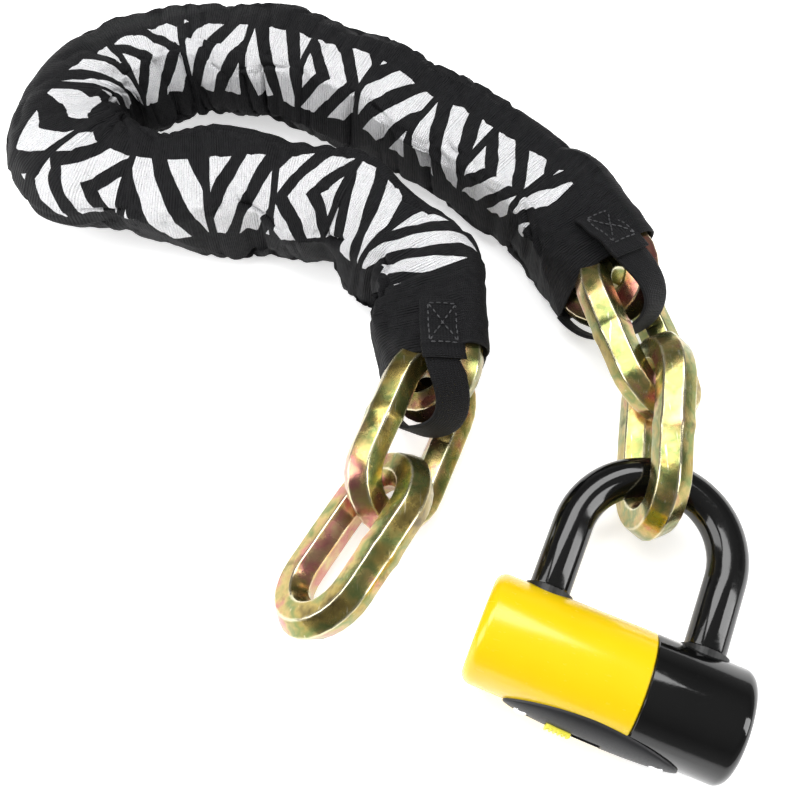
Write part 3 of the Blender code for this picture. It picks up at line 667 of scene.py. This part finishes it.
def make_links(poses, finish):
    ends = dict(zip(SLEEVE_LINKS, ("sleeve_left_end", "sleeve_right_end")))
    for number in (1, 2, *SLEEVE_LINKS, 15, 16):
        node = f"link_{number:02d}"
        mesh = link_mesh(poses[number - 1])
        link = add_piece(f"forged_{node}", mesh, finish, ends.get(number, node), (node,))
        weld_loose(link.data)


def weld_loose(mesh):
    """Joins the last ring of a closed bar to its first."""
    shape = bmesh.new()
    shape.from_mesh(mesh)
    bmesh.ops.remove_doubles(shape, verts=shape.verts, dist=0.000002)
    shape.to_mesh(mesh)
    shape.free()
    mesh.shade_smooth()


# ---------------- sleeve


def level(vector):
    return Vector((vector.x, vector.y, 0)).normalized()


def lengths(vectors):
    return np.linalg.norm(vectors, axis=-1)


def unit(vectors):
    return vectors / lengths(vectors)[..., None]


def drawn_outline(reach, normals):
    """The curve that reaches just so far in each direction, as its side and height."""
    slope = (np.roll(reach, -1) - np.roll(reach, 1)) / (2 * sin(2 * pi / FABRIC_AROUND))
    return reach * normals[0] - slope * normals[1], reach * normals[1] + slope * normals[0]


class Cut:
    """An upright cut across the sleeve, drawn over the bars near it, as in the CAD model."""

    def __init__(self, point, facing, poses, runs=None, fold=False):
        self.point = Vector((point.x, point.y, 0))
        self.facing = level(facing)
        self.side = UP.cross(self.facing)
        self.poses = poses
        self.runs = runs or (self.facing, self.facing)
        self.fold = fold
        self.loop = []

    def ahead(self, point):
        return (point - self.point).dot(self.facing)

    def flat_places(self, point):
        """Where a point of a bar comes down on the cut, slid along the sleeve's run."""
        offset = point - self.point
        ahead = offset.dot(self.facing)
        run = self.runs[0] if ahead < 0 else self.runs[1]
        slid = offset - run * (ahead / run.dot(self.facing))
        places = [(slid.dot(self.side), point.z)]
        if self.fold:
            if places[0][0] <= 0:
                return []
            places.append((offset.xy.length, point.z))
        return places

    def wrap(self, before, after):
        """Draws the loop, pressed down to the cloth's height and lowered on to the ground."""
        flat = []
        for pose in self.poses:
            for x, y, _ in bar_line(8, 8):
                point = pose.point(x, y)
                if before.ahead(point) > -BAR_CORNER and after.ahead(point) < BAR_CORNER:
                    flat += self.flat_places(point)
        angles = 2 * pi * np.arange(FABRIC_AROUND) / FABRIC_AROUND
        normals = np.stack([np.cos(angles), np.sin(angles)])
        reach = (np.array(flat) @ normals).max(axis=0) + BAR_CORNER + FABRIC_PLAY
        side, height = drawn_outline(reach, normals)
        half_side, half_height = np.ptp(side) / 2, np.ptp(height) / 2
        centre = np.array([side.min() + half_side, height.min() + half_height])
        oval = np.hypot(half_side * normals[0], half_height * normals[1])
        side, height = drawn_outline(np.maximum(reach, centre @ normals + ROUNDING * oval), normals)
        if self.fold:
            side *= 1 - TURN_TUCK / side.max()
        squeeze = min(1.0, FABRIC_HEIGHT / (height.max() - height.min()))
        height = CLOTH_REST + (height - height.min()) * squeeze
        self.loop = [self.point + float(a) * self.side + float(b) * UP for a, b in zip(side, height)]


def sleeve_cuts(poses):
    def pose(number):
        return poses[number - 1]

    def at_joint(number):
        before, after = pose(number), pose(number + 1)
        hook = (before.point(19, 0) + after.point(-19, 0)) / 2
        runs = (level(before.along), level(after.along))
        return Cut(hook, runs[0] + runs[1], (before, after), runs)

    first, last = SLEEVE_LINKS
    turn_first, turn_last = TURN_LINKS
    cuts = [Cut(pose(first).point(-MOUTH_REACH, 0), pose(first).along, (pose(first),))]
    for number in range(first, last + 1):
        if number == turn_first:
            cuts += turn_cuts(poses)
        if turn_first <= number < turn_last:
            continue
        if number != turn_last:
            near = poses[max(number - 2, 2) : min(number + 1, 14)]
            cuts.append(Cut(pose(number).centre, pose(number).along, near))
        if number < last:
            cuts.append(at_joint(number))
    cuts.append(Cut(pose(last).point(MOUTH_REACH, 0), pose(last).along, (pose(last),)))
    for index, cut in enumerate(cuts):
        cut.wrap(cuts[max(index - 1, 0)], cuts[min(index + 1, len(cuts) - 1)])
    return cuts


def turn_cuts(poses, steps=8):
    """Cuts that fan out from the fold line inside the tight turn."""
    before, after = poses[TURN_LINKS[0] - 1], poses[TURN_LINKS[1] - 1]
    ahead, back = level(before.along), level(after.along)
    inward = ahead.cross(UP)
    inward_after = back.cross(UP)
    start = before.centre + FOLD_ROOM * inward
    end = after.centre + FOLD_ROOM * inward_after
    fold = start + ahead * ((end - start).dot(inward_after) / ahead.dot(inward_after))
    turn = atan2(ahead.cross(back).z, ahead.dot(back))
    cuts = []
    for step in range(steps + 1):
        facing = Matrix.Rotation(turn * step / steps, 3, "Z") @ ahead
        near = poses[TURN_LINKS[0] - 1 : TURN_LINKS[1]]
        if step == 0:
            near = poses[TURN_LINKS[0] - 2 : TURN_LINKS[0] + 1]
        if step == steps:
            near = poses[TURN_LINKS[1] - 2 : TURN_LINKS[1] + 1]
        cuts.append(Cut(fold, facing, near, fold=True))
    return cuts


def smooth_rows(loops):
    """Rows of points on a Catmull-Rom curve through the cuts' loops."""
    control = np.array([[tuple(point) for point in loop] for loop in loops])
    ends = (2 * control[:1] - control[1:2], 2 * control[-1:] - control[-2:-1])
    padded = np.concatenate([ends[0], control, ends[1]])
    rows = []
    for index in range(len(control) - 1):
        a, b, c, d = padded[index : index + 4]
        for step in range(FABRIC_STEPS):
            t = step / FABRIC_STEPS
            row = b + 0.5 * t * (c - a + t * (2 * a - 5 * b + 4 * c - d + t * (3 * (b - c) + d - a)))
            rows.append(row)
    rows.append(control[-1])
    return np.array(rows)


def even_rows(rows):
    """Rows at equal distances along the middle of the sleeve, and those distances."""
    middles = rows.mean(axis=1)
    travel = np.concatenate([[0], np.cumsum(lengths(np.diff(middles, axis=0)))])
    wanted = np.linspace(0, travel[-1], int(travel[-1] / ROW_SPACING) + 1)
    result = np.empty((len(wanted),) + rows.shape[1:])
    for axis in range(3):
        for index in range(rows.shape[1]):
            result[:, index, axis] = np.interp(wanted, travel, rows[:, index, axis])
    return result, wanted


def relax(rows):
    """Evens out kinks along the sleeve, leaving the mouths where they are."""
    for _ in range(RELAX_PASSES):
        inner = (rows[:-2] + 2 * rows[1:-1] + rows[2:]) / 4
        rows = np.concatenate([rows[:1], inner, rows[-1:]])
    return rows


def round_noise(along, share, size, lift=0.0):
    """Seeded noise that closes on itself round the sleeve."""
    return noise.noise(Vector((along, size * cos(share), size * sin(share) + lift)))


def fold_height(along, share, bend):
    """How far the cloth stands out or in, in millimetres: soft waves and pinched creases."""
    wave = round_noise(along * 0.045, share, 2.2)
    skew = along + 7 * sin(share + 0.8)
    crease = 1 - abs(round_noise(skew * 0.10, share, 0.9, 4.2))
    crease = max(0.0, crease - 0.72) / 0.28
    fine = round_noise(skew * 0.22, share, 1.6, 9.0)
    return 1.2 * wave - (1.5 + 2.2 * bend) * crease**2 + (0.55 + 1.1 * bend) * fine


def cloth_normals(rows, outward):
    around_ways = np.roll(rows, -1, axis=1) - np.roll(rows, 1, axis=1)
    normals = unit(np.cross(around_ways, np.gradient(rows, axis=0)))
    return normals * np.sign((normals * outward).sum(axis=2).mean())


def sleeve_surface(poses):
    """The finished cloth: rows of points and the distance of each row from the left mouth."""
    rows, along = even_rows(smooth_rows([cut.loop for cut in sleeve_cuts(poses)]))
    rows = relax(rows)
    ends = [poses[number - 1] for number in SLEEVE_LINKS]
    for pose in ends:
        push_clear(rows, pose)
    middles = rows.mean(axis=1)
    ways = unit(np.gradient(middles, axis=0))
    turning = np.concatenate([[0, 0], np.cross(ways[:-4], ways[4:])[:, 2], [0, 0]])
    outward = rows - middles[:, None]
    normals = cloth_normals(rows, outward)
    for row, distance in enumerate(np.minimum(along, along[-1] - along)):
        calm = min(1.0, distance / CALM_REACH)
        side = np.cross([0, 0, 1], ways[row])
        for index in range(FABRIC_AROUND):
            share = 2 * pi * index / FABRIC_AROUND
            inner = float(outward[row, index] @ side) * np.sign(turning[row]) / SLEEVE_RADIUS
            bend = min(1.0, abs(turning[row]) * 6) * max(0.0, inner)
            lift = fold_height(along[row], share, bend) * (0.25 + 0.75 * calm)
            rows[row, index] += normals[row, index] * lift
    for pose in ends:
        push_clear(rows, pose)
    rows[:, :, 2] = np.maximum(rows[:, :, 2], CLOTH_FLOOR)
    return rows, along


def push_clear(rows, pose, passes=8):
    """Moves cloth that the link's bar would poke through out to the bar's surface."""
    bar = np.array([tuple(pose.point(x, y)) for x, y, _ in bar_line(16, 24)])
    room = BAR_CORNER + BAR_ROOM
    points = rows.reshape(-1, 3)
    middles = np.repeat(rows.mean(axis=1), rows.shape[1], axis=0)
    near = np.nonzero(lengths(points - np.array(pose.centre)) < LINK_LENGTH_INSIDE)[0]
    for _ in range(passes):
        gaps = points[near][:, None] - bar[None]
        distances = lengths(gaps)
        closest = distances.argmin(axis=1)
        depth = room - distances.min(axis=1)
        outward = unit(points[near] - middles[near])
        away = unit(unit(gaps[np.arange(len(near)), closest]) + 2 * outward)
        points[near] += away * np.maximum(depth, 0)[:, None]
    rows[:] = points.reshape(rows.shape)


def top_offsets(rows, window=41):
    """Distance round each row from its top, which faces the camera a little."""
    steps = lengths(np.diff(np.concatenate([rows, rows[:, :1]], axis=1), axis=1))
    travel = np.concatenate([np.zeros((len(rows), 1)), np.cumsum(steps, axis=1)], axis=1)
    middles = rows.mean(axis=1)
    to_camera = np.array(bpy.context.scene.camera.location) / MM - middles
    ways = np.gradient(middles, axis=0)
    sides = unit(np.stack([-ways[:, 1], ways[:, 0]], axis=1))
    lean = np.arctan2(to_camera[:, 1] * sides[:, 1], to_camera[:, 2])
    padded = np.pad(lean, window // 2, mode="edge")
    lean = PRINT_LEAN * np.convolve(padded, np.ones(window) / window, mode="valid")
    index = FABRIC_AROUND * (0.25 - lean / (2 * pi))
    place = np.arange(FABRIC_AROUND + 1)
    top = np.array([np.interp(spot, place, row) for spot, row in zip(index, travel)])
    return travel - top[:, None]


def make_sleeve(rows, along, finish):
    """One continuous tube, cut in four pieces that each reach across one joint of the frame."""
    offsets = top_offsets(rows)
    middles = rows.mean(axis=1)
    inner = [f"link_{number}" for number in range(10, 14)]
    pieces = (
        ("sleeve_left", "sleeve_left_end", "sleeve_front", ("sleeve_left_end", "link_04")),
        ("sleeve_near", "sleeve_front", "sleeve_turn", ("sleeve_front", "link_05", "link_06")),
        ("sleeve_bend", "sleeve_turn", "sleeve_back", ("sleeve_turn", "link_07", "link_08", "link_09")),
        ("sleeve_right", "sleeve_back", "sleeve_right_end", ("sleeve_back", "sleeve_right_end", *inner)),
    )
    joints = {}
    for joint in frame["joints"]:
        if joint["type"] == "hinge":
            joints[frozenset((joint["parent"], joint["child"]))] = Vector(joint["pos_m"]) / MM
    hinges = []
    for _, a, b, _ in pieces:
        spot = np.array(joints[frozenset((a, b))])
        hinges.append(int(np.argmin(lengths(middles - spot))))
    stops = [0, *((one + two) // 2 for one, two in zip(hinges, hinges[1:])), len(rows) - 1]
    reach = BLEND_REACH / ROW_SPACING
    for low, high, hinge, (name, a, b, replaced) in zip(stops, stops[1:], hinges, pieces):
        part = [list(row) for row in rows[low : high + 1]]
        travel = list(along[low : high + 1])
        around = [list(row) for row in offsets[low : high + 1]]
        if low == stops[0]:
            add_hem(part, travel, around, True)
        if high == stops[-1]:
            add_hem(part, travel, around, False)

        def coordinates(row, place):
            return travel[row] / UV_UNIT, around[row][place] / UV_UNIT

        piece = add_piece(name, grid_mesh(name, part, coordinates), finish, None, replaced)
        start = middles[max(low, int(hinge - reach))]
        end = middles[min(high, int(hinge + reach))]
        [v * MM for v in start]
        [v * MM for v in end]
        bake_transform(piece)


def add_hem(part, travel, around, at_start):
    """Rolls the cloth over at a mouth and takes it back inside."""
    edge_row = 0 if at_start else -1
    depth = int(HEM_DEPTH / ROW_SPACING)
    edge, inner = part[edge_row], part[depth if at_start else -1 - depth]
    middle = Vector(np.mean(np.array(edge), axis=0))
    deep_middle = Vector(np.mean(np.array(inner), axis=0))
    out = (middle - deep_middle).normalized()
    rows = []
    for shrink, push in ((0.2, 0.9), (0.9, 1.1), (1.5, 0.5)):
        rows.append([pull_in(Vector(point), middle, out, shrink) + push * out for point in edge])
    rows.append([pull_in(Vector(point), deep_middle, out, 1.6) for point in inner])
    place, offset = travel[edge_row], around[edge_row]
    for row in rows:
        for line, value in ((part, row), (travel, place), (around, offset)):
            line.insert(0 if at_start else len(line), value)


def pull_in(point, middle, out, distance):
    arm = point - middle
    arm -= out * arm.dot(out)
    return point - arm.normalized() * distance


# ---------------- keepers


def keeper_stations(pose, outward, rows):
    """The webbing's path: sewn on top, out of the mouth, round the link's end and back below.

    Gives each station as its middle, width direction, outer direction and how far it is bowed.
    """
    out = level(pose.along) * outward
    side = out.cross(UP)
    mouth = pose.centre + MOUTH_REACH * out
    offsets = rows.reshape(-1, 3) - np.array(mouth)
    ahead_of = offsets @ np.array(out)
    nose = LINK_LENGTH_INSIDE / 2 + 2 * BAR_CORNER - MOUTH_REACH + STRAP_THICKNESS + STRAP_PLAY
    low = LINK_WIDTH_INSIDE / 2 + 2 * BAR_CORNER + STRAP_THICKNESS + STRAP_PLAY
    plane = degrees(atan2(pose.across.dot(side), pose.across.dot(UP)))
    plane = (plane + 90) % 180 - 90
    lean_top = copysign(STRAP_LEAN, plane)

    def directions(lean):
        lean = radians(lean)
        radial = sin(lean) * side + cos(lean) * UP
        return radial, cos(lean) * side - sin(lean) * UP

    radial, width = directions(lean_top)

    def seat(reach):
        near = (abs(ahead_of - reach) < 2.5) & (abs(offsets @ np.array(width)) < STRAP_WIDTH / 2)
        return float((offsets[near] @ np.array(radial)).max()) + STRAP_THICKNESS / 2 + 0.3

    stations = []
    for step in range(SEWN_STEPS):
        reach = -STRAP_PATCH * (1 - step / SEWN_STEPS)
        stations.append((mouth + reach * out + seat(reach) * radial, width, radial, 1.0))
    top = seat(0)
    for step in range(LOOP_STEPS + 1):
        swing = radians(90 - 180 * step / LOOP_STEPS)
        share = max(0.0, sin(swing))
        radial, width = directions(plane + (lean_top - plane) * share**2)
        height = (top if share else low) * sin(swing)
        middle = mouth + (nose * cos(swing) + 1.0) * out + height * radial
        tail = min(1.0, max(0.0, -sin(swing) - 0.6) / 0.35)
        outer = sin(swing) * radial + cos(swing) * out
        stations.append((middle, width * (1 - TAIL_TUCK * tail), outer, share**2))
    return stations


def webbing_section(steps=20, power=0.35):
    """A flat strip with soft edges, as (across, up) shares of its half width and thickness."""
    places = []
    for step in range(steps):
        angle = 2 * pi * (step + 0.5) / steps
        place = (cos(angle), sin(angle))
        places.append(tuple(copysign(abs(share) ** power, share) for share in place))
    return places


def webbing_rings(stations, section, extra_width=0.0, lift=0.0):
    rings = []
    for middle, width, outer, bowed in stations:
        ring = []
        for w, t in section:
            across = w * (STRAP_WIDTH + extra_width) / 2
            sag = bowed * across**2 / (2 * SLEEVE_RADIUS)
            ring.append(middle + across * width + (t * STRAP_THICKNESS / 2 + lift - sag) * outer)
        rings.append(ring)
    return rings


def make_keeper(name, pose, outward, rows, finish, thread):
    """Ribbed webbing loop, doubled where it is sewn to the sleeve with a crossed box of stitches."""
    body = f"sleeve_{name}_end"
    stations = keeper_stations(pose, outward, rows)
    section = webbing_section()
    travel = [0.0]
    for (one, *_), (two, *_) in zip(stations, stations[1:]):
        travel.append(travel[-1] + (two - one).length)

    def coordinates(row, index):
        across = section[index % len(section)][0] * STRAP_WIDTH / 2
        return travel[row] / UV_UNIT, across / UV_UNIT

    mesh = grid_mesh(f"keeper_{name}", webbing_rings(stations, section), coordinates, caps=True)
    loop = add_piece(f"keeper_{name}", mesh, finish, body, (f"strap_{name}",))

    first, last = PATCH_STATIONS
    doubled = stations[first : last + 1]
    rings = webbing_rings(doubled, section, PATCH_EXTRA, STRAP_THICKNESS)
    mesh = grid_mesh(f"keeper_patch_{name}", rings, coordinates, caps=True)
    patch = add_piece(f"keeper_patch_{name}", mesh, finish, body)
    add_piece(f"keeper_stitches_{name}", stitch_mesh(doubled[1:-3]), thread, body)


def stitch_mesh(stations):
    """Box and cross of lockstitch lying on the doubled webbing."""

    def on_top(share, across):
        spot = share * (len(stations) - 1)
        index = min(int(spot), len(stations) - 2)
        (one, width, outer, bowed), (two, *_) = stations[index], stations[index + 1]
        sag = bowed * across**2 / (2 * SLEEVE_RADIUS)
        lift = STRAP_THICKNESS * 1.5 + 0.1 - sag
        return one.lerp(two, spot - index) + across * width + lift * outer, outer

    half = STRAP_WIDTH / 2 - STITCH_MARGIN
    corners = [(0.0, -half), (1.0, -half), (1.0, half), (0.0, half)]
    seams = list(zip(corners, corners[1:] + corners[:1]))
    seams += [(corners[0], corners[2]), (corners[1], corners[3])]
    size = Matrix.Diagonal((*STITCH_HALF_SIZE, 1.0))
    shape = bmesh.new()
    for (share_a, across_a), (share_b, across_b) in seams:
        seam = on_top(share_b, across_b)[0] - on_top(share_a, across_a)[0]
        run = seam.normalized()
        count = max(2, round(seam.length / STITCH_PITCH))
        for index in range(count):
            mid = (index + 0.5) / count
            share = share_a + (share_b - share_a) * mid
            spot, outer = on_top(share, across_a + (across_b - across_a) * mid)
            turn = Matrix((run, outer.cross(run).normalized(), outer)).transposed().to_4x4()
            place = Matrix.Translation(spot * MM) @ turn @ size @ Matrix.Scale(MM, 4)
            bmesh.ops.create_icosphere(shape, subdivisions=2, radius=1.0, matrix=place)
    mesh = to_mesh(shape, "stitches")
    mesh.shade_smooth()
    return mesh


# ---------------- lock


def lock_matrix():
    """The lock's own axes: x along the body, y to the shackle, measured from the CAD nodes."""
    covers = np.concatenate([node_points("yellow_cover"), node_points("black_cover")])
    seals = [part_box(f"shackle_seal_{side}") for side in ("left", "right")]
    left, right = ((Vector(low) + Vector(high)) / 2 / MM for low, high in seals)
    x = (right - left).normalized()
    joint = next(joint for joint in frame["joints"] if joint["name"] == "shackle_slide")
    y = -Vector(joint["axis"]).normalized()
    z = x.cross(y)
    along, near, up = (covers @ np.array(axis) for axis in (x, y, z))
    centre = x * (along.max() + along.min()) / 2 + z * (up.max() + up.min()) / 2
    centre += y * (near.max() - BODY_DIAMETER / 2)
    return Matrix.Translation(centre * MM) @ Matrix((x, y, z)).transposed().to_4x4()


def spin(name, profile, sides, start, to_point):
    """A closed surface turned from (along, radius) points that start and end on its axis."""
    shape = bmesh.new()
    rings = []
    for along, radius in profile:
        ring = []
        for step in range(sides if radius else 1):
            angle = 2 * pi * (step + start) / sides
            point = to_point(along, radius * cos(angle), radius * sin(angle))
            ring.append(shape.verts.new([value * MM for value in point]))
        rings.append(ring)
    for ring, other in zip(rings, rings[1:]):
        for index in range(sides):
            after = (index + 1) % sides
            corners = [ring[index % len(ring)], ring[after % len(ring)]]
            corners += [other[after % len(other)], other[index % len(other)]]
            shape.faces.new(list(dict.fromkeys(corners)))
    bmesh.ops.recalc_face_normals(shape, faces=shape.faces)
    return to_mesh(shape, name)


def post(radius, low, high, x, sides=64):
    """A cylinder between two heights, upright on the lock's body."""
    shape = bmesh.new()
    size = {"radius1": radius * MM, "radius2": radius * MM, "depth": (high - low) * MM}
    bmesh.ops.create_cone(shape, cap_ends=True, segments=sides, **size)
    shape.transform(Matrix.Rotation(-pi / 2, 4, "X"))
    bmesh.ops.translate(shape, verts=shape.verts, vec=Vector((x, (low + high) / 2, 0)) * MM)
    return to_mesh(shape, "post")


def slab(low, high):
    shape = bmesh.new()
    bmesh.ops.create_cube(shape, size=1.0)
    low, high = Vector(low) * MM, Vector(high) * MM
    for vert in shape.verts:
        vert.co = (low + high) / 2 + Vector(co * side for co, side in zip(vert.co, high - low))
    return to_mesh(shape, "slab")


def lens(length, height, low, high, steps=40):
    """A lens outline in x and z, drawn between y = low and y = high."""
    half, rise = length / 2, height / 2
    radius = (half * half + rise * rise) / (2 * rise)
    spread = asin(half / radius)
    outline = []
    for side in (1, -1):
        for step in range(steps):
            angle = spread * (1 - 2 * step / steps)
            z = side * (radius * cos(angle) - radius + rise)
            outline.append((LEG_OFFSET + side * radius * sin(angle), z))
    rings = [[(x, y, z) for x, z in outline] for y in (low, high)]
    return grid_mesh("lens", rings, caps=True)


def pillow(rings=14, sides=96):
    """The keyway plate's swollen oval: it follows the round body and crowns in the middle."""
    half, rise = PLATE_LENGTH / 2 + PLATE_SWELL[0], PLATE_HEIGHT / 2 + PLATE_SWELL[1]

    def ring(share, crown, radius):
        places = []
        for side in range(sides):
            angle = 2 * pi * side / sides
            x, z = share * half * cos(angle), share * rise * sin(angle)
            places.append((LEG_OFFSET + x, -sqrt(radius**2 - z**2) - crown, z))
        return places

    faces = [ring(share, 0.0, BODY_DIAMETER / 2 - PLATE_FOOT) for share in (0.001, 1.0)]
    for step in range(rings):
        angle = pi / 2 * step / rings
        faces.append(ring(cos(angle), PLATE_CROWN * sin(angle), PLATE_RIM))
    faces.append(ring(0.001, PLATE_CROWN, PLATE_RIM))
    return grid_mesh("pillow", faces, caps=True)


def carve(obj, mesh):
    tool = in_scene("tool", mesh)
    tool.matrix_world = obj.matrix_world
    boolean = obj.modifiers.new("carve", "BOOLEAN")
    boolean.operation = "DIFFERENCE"
    boolean.solver = "EXACT"
    boolean.object = tool
    bpy.context.view_layer.update()
    apply_modifiers(obj)
    bpy.data.objects.remove(tool, do_unlink=True)


def soften(obj, width, segments=3):
    bevel = obj.modifiers.new("soften", "BEVEL")
    bevel.width = width * MM
    bevel.segments = segments
    bevel.limit_method = "ANGLE"
    bevel.angle_limit = radians(35)
    bevel.harden_normals = False
    apply_modifiers(obj)
    shade(obj.data)


def cover_outline(start, end, radius, edge, steps=10):
    points = [(start, radius - 0.5), (start + 0.5, radius)]
    centre = end - edge
    for step in range(steps + 1):
        angle = pi / 2 * step / steps
        points.append((centre + edge * sin(angle), radius - edge + edge * cos(angle)))
    points.append((end, 0))
    return points


def make_covers(place, yellow, black):
    radius = BODY_DIAMETER / 2
    end = BODY_LENGTH / 2
    for color, sign, seam, finish in (("yellow", -1, -COVER_SEAM, yellow), ("black", 1, COVER_SEAM, black)):
        seam += JACKET_GAP
        wall, bottom = radius - COVER_WALL, end - COVER_WALL
        profile = [(bottom, 0), (bottom, wall), (seam, wall)]
        profile += cover_outline(seam, end, radius, COVER_EDGE)
        profile = [(x * sign, height) for x, height in profile]
        shell = spin("shell", profile, 128, 0.5, lambda *point: point)
        cup = add_object(f"{color}_jacket", shell, finish, place)
        leg_x = LEG_OFFSET + sign * LEG_SPACING / 2
        carve(cup, post(SHACKLE_DIAMETER / 2 + LEG_ROOM, radius / 2, radius + CUT_PAST, leg_x))
        hole = (PLATE_LENGTH + PLATE_ROOM, PLATE_HEIGHT + PLATE_ROOM)
        carve(cup, lens(*hole, -radius - CUT_PAST, -radius / 2))
        soften(cup, 0.35)
        settle(cup, "lock_case", (f"{color}_cover",))


def make_coating(place, black):
    """The coated U, with soft feet at the body."""
    bow = LEG_SPACING / 2
    top = BODY_DIAMETER / 2 + LEG_FREE
    curve = bpy.data.curves.new("coated_shackle", "CURVE")
    curve.dimensions = "3D"
    curve.bevel_depth = SHACKLE_DIAMETER / 2 * MM
    curve.bevel_resolution = 12
    curve.use_fill_caps = True
    feet = [(-1, 0.6), (-1, 1.4), (1, 1.4), (1, 0.6)]
    feet = [(LEG_OFFSET + side * bow, BODY_DIAMETER / 2 + rise, 0) for side, rise in feet]
    angles = [pi * (1 - step / 48) for step in range(49)]
    arch = [(LEG_OFFSET + bow * cos(turn), top + bow * sin(turn), 0) for turn in angles]
    points = feet[:2] + arch + feet[2:]
    spline = curve.splines.new("POLY")
    spline.points.add(len(points) - 1)
    for point, spot in zip(spline.points, points):
        point.co = (*(Vector(spot) * MM), 1)
    for end in (spline.points[0], spline.points[-1]):
        end.radius = 0.95
    holder = in_scene("coated_shackle", curve)
    bpy.context.view_layer.update()
    mesh = finished_mesh(holder)
    bpy.data.objects.remove(holder, do_unlink=True)
    coat = add_object("coated_shackle", mesh, black, place)
    shade(coat.data)
    settle(coat, "shackle", ("shackle_coating",))


def make_keyway(place, plastic, slider, steel):
    """Keyway plate with its keyhole and track, its two rivets and the ribbed dust cover."""
    plate = add_object("keyway_shield", pillow(), plastic, place)
    open_at = LEG_OFFSET - TAB_TRAVEL
    floor = PLATE_RIM + PLATE_CROWN - PLATE_RECESS
    half_x, half_z = TAB_SIZE[0] / 2, TAB_SIZE[1] / 2
    rivets = {"left": LEG_OFFSET - RIVET_SPACING / 2, "right": LEG_OFFSET + RIVET_SPACING / 2}
    low = (open_at - half_x - SLIDER_GAP, -floor - CUT_PAST, -half_z - SLIDER_GAP)
    carve(plate, slab(low, (LEG_OFFSET + half_x + SLIDER_GAP, -floor, half_z + SLIDER_GAP)))
    carve(plate, post(KEYHOLE_RADIUS, -floor - CUT_PAST, 0, LEG_OFFSET, sides=48))
    for rivet_x in rivets.values():
        carve(plate, post(RIVET_HOLE_RADIUS, -floor - CUT_PAST, -RIVET_SEAT, rivet_x, sides=32))
    soften(plate, 0.3, 2)
    settle(plate, "lock_case", ("keyway_plate",))

    for name, rivet_x in rivets.items():
        spot = place @ Matrix.Translation(Vector((rivet_x, -RIVET_SEAT, 0)) * MM)
        head = add_object(f"rivet_button_{name}", button(2.6, 1.2, 1.5, 7.0), steel, spot)
        bpy.context.view_layer.update()
        settle(head, "lock_case", (f"rivet_{name}",))

    top = -floor - SLIDER_GAP - SLIDER_DEPTH
    block = slab((open_at - half_x, top, -half_z), (open_at + half_x, -floor - SLIDER_GAP, half_z))
    tab = add_object("ribbed_slider", block, slider, place)
    half_groove, depth = RIB_GROOVE
    for rib in range(-2, 3):
        groove_x = open_at + rib * RIB_PITCH
        low = (groove_x - half_groove, top - 1, -half_z - 1)
        carve(tab, slab(low, (groove_x + half_groove, top + depth, half_z + 1)))
    soften(tab, 0.25, 2)
    settle(tab, "dust_cover", ("dust_cover",))


def button(radius, height, shank, depth, steps=6):
    """A button-headed rivet along -y, its head's flat side on y = 0."""
    profile = [(-height, 0)]
    for step in range(1, steps + 1):
        angle = pi / 2 * step / steps
        profile.append((-height * cos(angle), radius * sin(angle)))
    profile += [(0, shank), (depth, shank), (depth, 0)]
    mesh = spin("button", profile, 32, 0, lambda along, across, up: (across, along, up))
    shade(mesh)
    return mesh


def finish_cad_nodes(nodes, finish):
    """A better material for the CAD nodes that stay, most of them inside the lock."""
    for node in nodes:
        data = frame["nodes"][node].data
        data.materials.clear()
        data.materials.append(finish)


# ---------------- all


def main():
    make_camera()
    make_studio()
    zinc = zinc_material()
    webbing = webbing_material()
    yellow = vinyl_material("yellow_vinyl", (0.92, 0.61, 0.002), (0.95, 0.66, 0.003), 0.18)
    black = vinyl_material("black_vinyl", (0.002, 0.002, 0.002), (0.004, 0.004, 0.004), 0.07)
    plastic = plastic_material("satin_black", (0.010, 0.010, 0.011), (0.017, 0.017, 0.019))
    slider = plastic_material("slider_yellow", (0.85, 0.78, 0.05), (0.93, 0.86, 0.1))
    thread = plastic_material("sewing_thread", (0.03, 0.03, 0.032), (0.06, 0.06, 0.065))
    rubber = plastic_material("seal_rubber", (0.003, 0.003, 0.003), (0.006, 0.006, 0.006))
    steel = metal_material("ground_steel", (0.5, 0.5, 0.5), (0.66, 0.66, 0.66), 0.2)
    bright = metal_material("bright_rivet", (0.75, 0.75, 0.76), (0.9, 0.9, 0.9), 0.12)
    brass = metal_material("machined_brass", (0.62, 0.46, 0.2), (0.74, 0.58, 0.3), 0.22)

    poses = link_poses()
    make_links(poses, zinc)
    rows, along = sleeve_surface(poses)
    make_sleeve(rows, along, fabric_material(float(along[-1])))
    for name, number, outward in zip(("left", "right"), SLEEVE_LINKS, (-1, 1)):
        make_keeper(name, poses[number - 1], outward, rows, webbing, thread)
    place = lock_matrix()
    make_covers(place, yellow, black)
    make_coating(place, black)
    make_keyway(place, plastic, slider, bright)
    bolts = ["bolt_left", "bolt_right", "bolt_cam"]
    discs = [f"detainer_disc_{number}" for number in (1, 2, 3)]
    finish_cad_nodes(["shackle", "lock_body", *bolts, "cylinder_pin"], steel)
    finish_cad_nodes(["cylinder_barrel", "cylinder_core", *discs], brass)
    finish_cad_nodes(["shackle_seal_left", "shackle_seal_right"], rubber)


main()
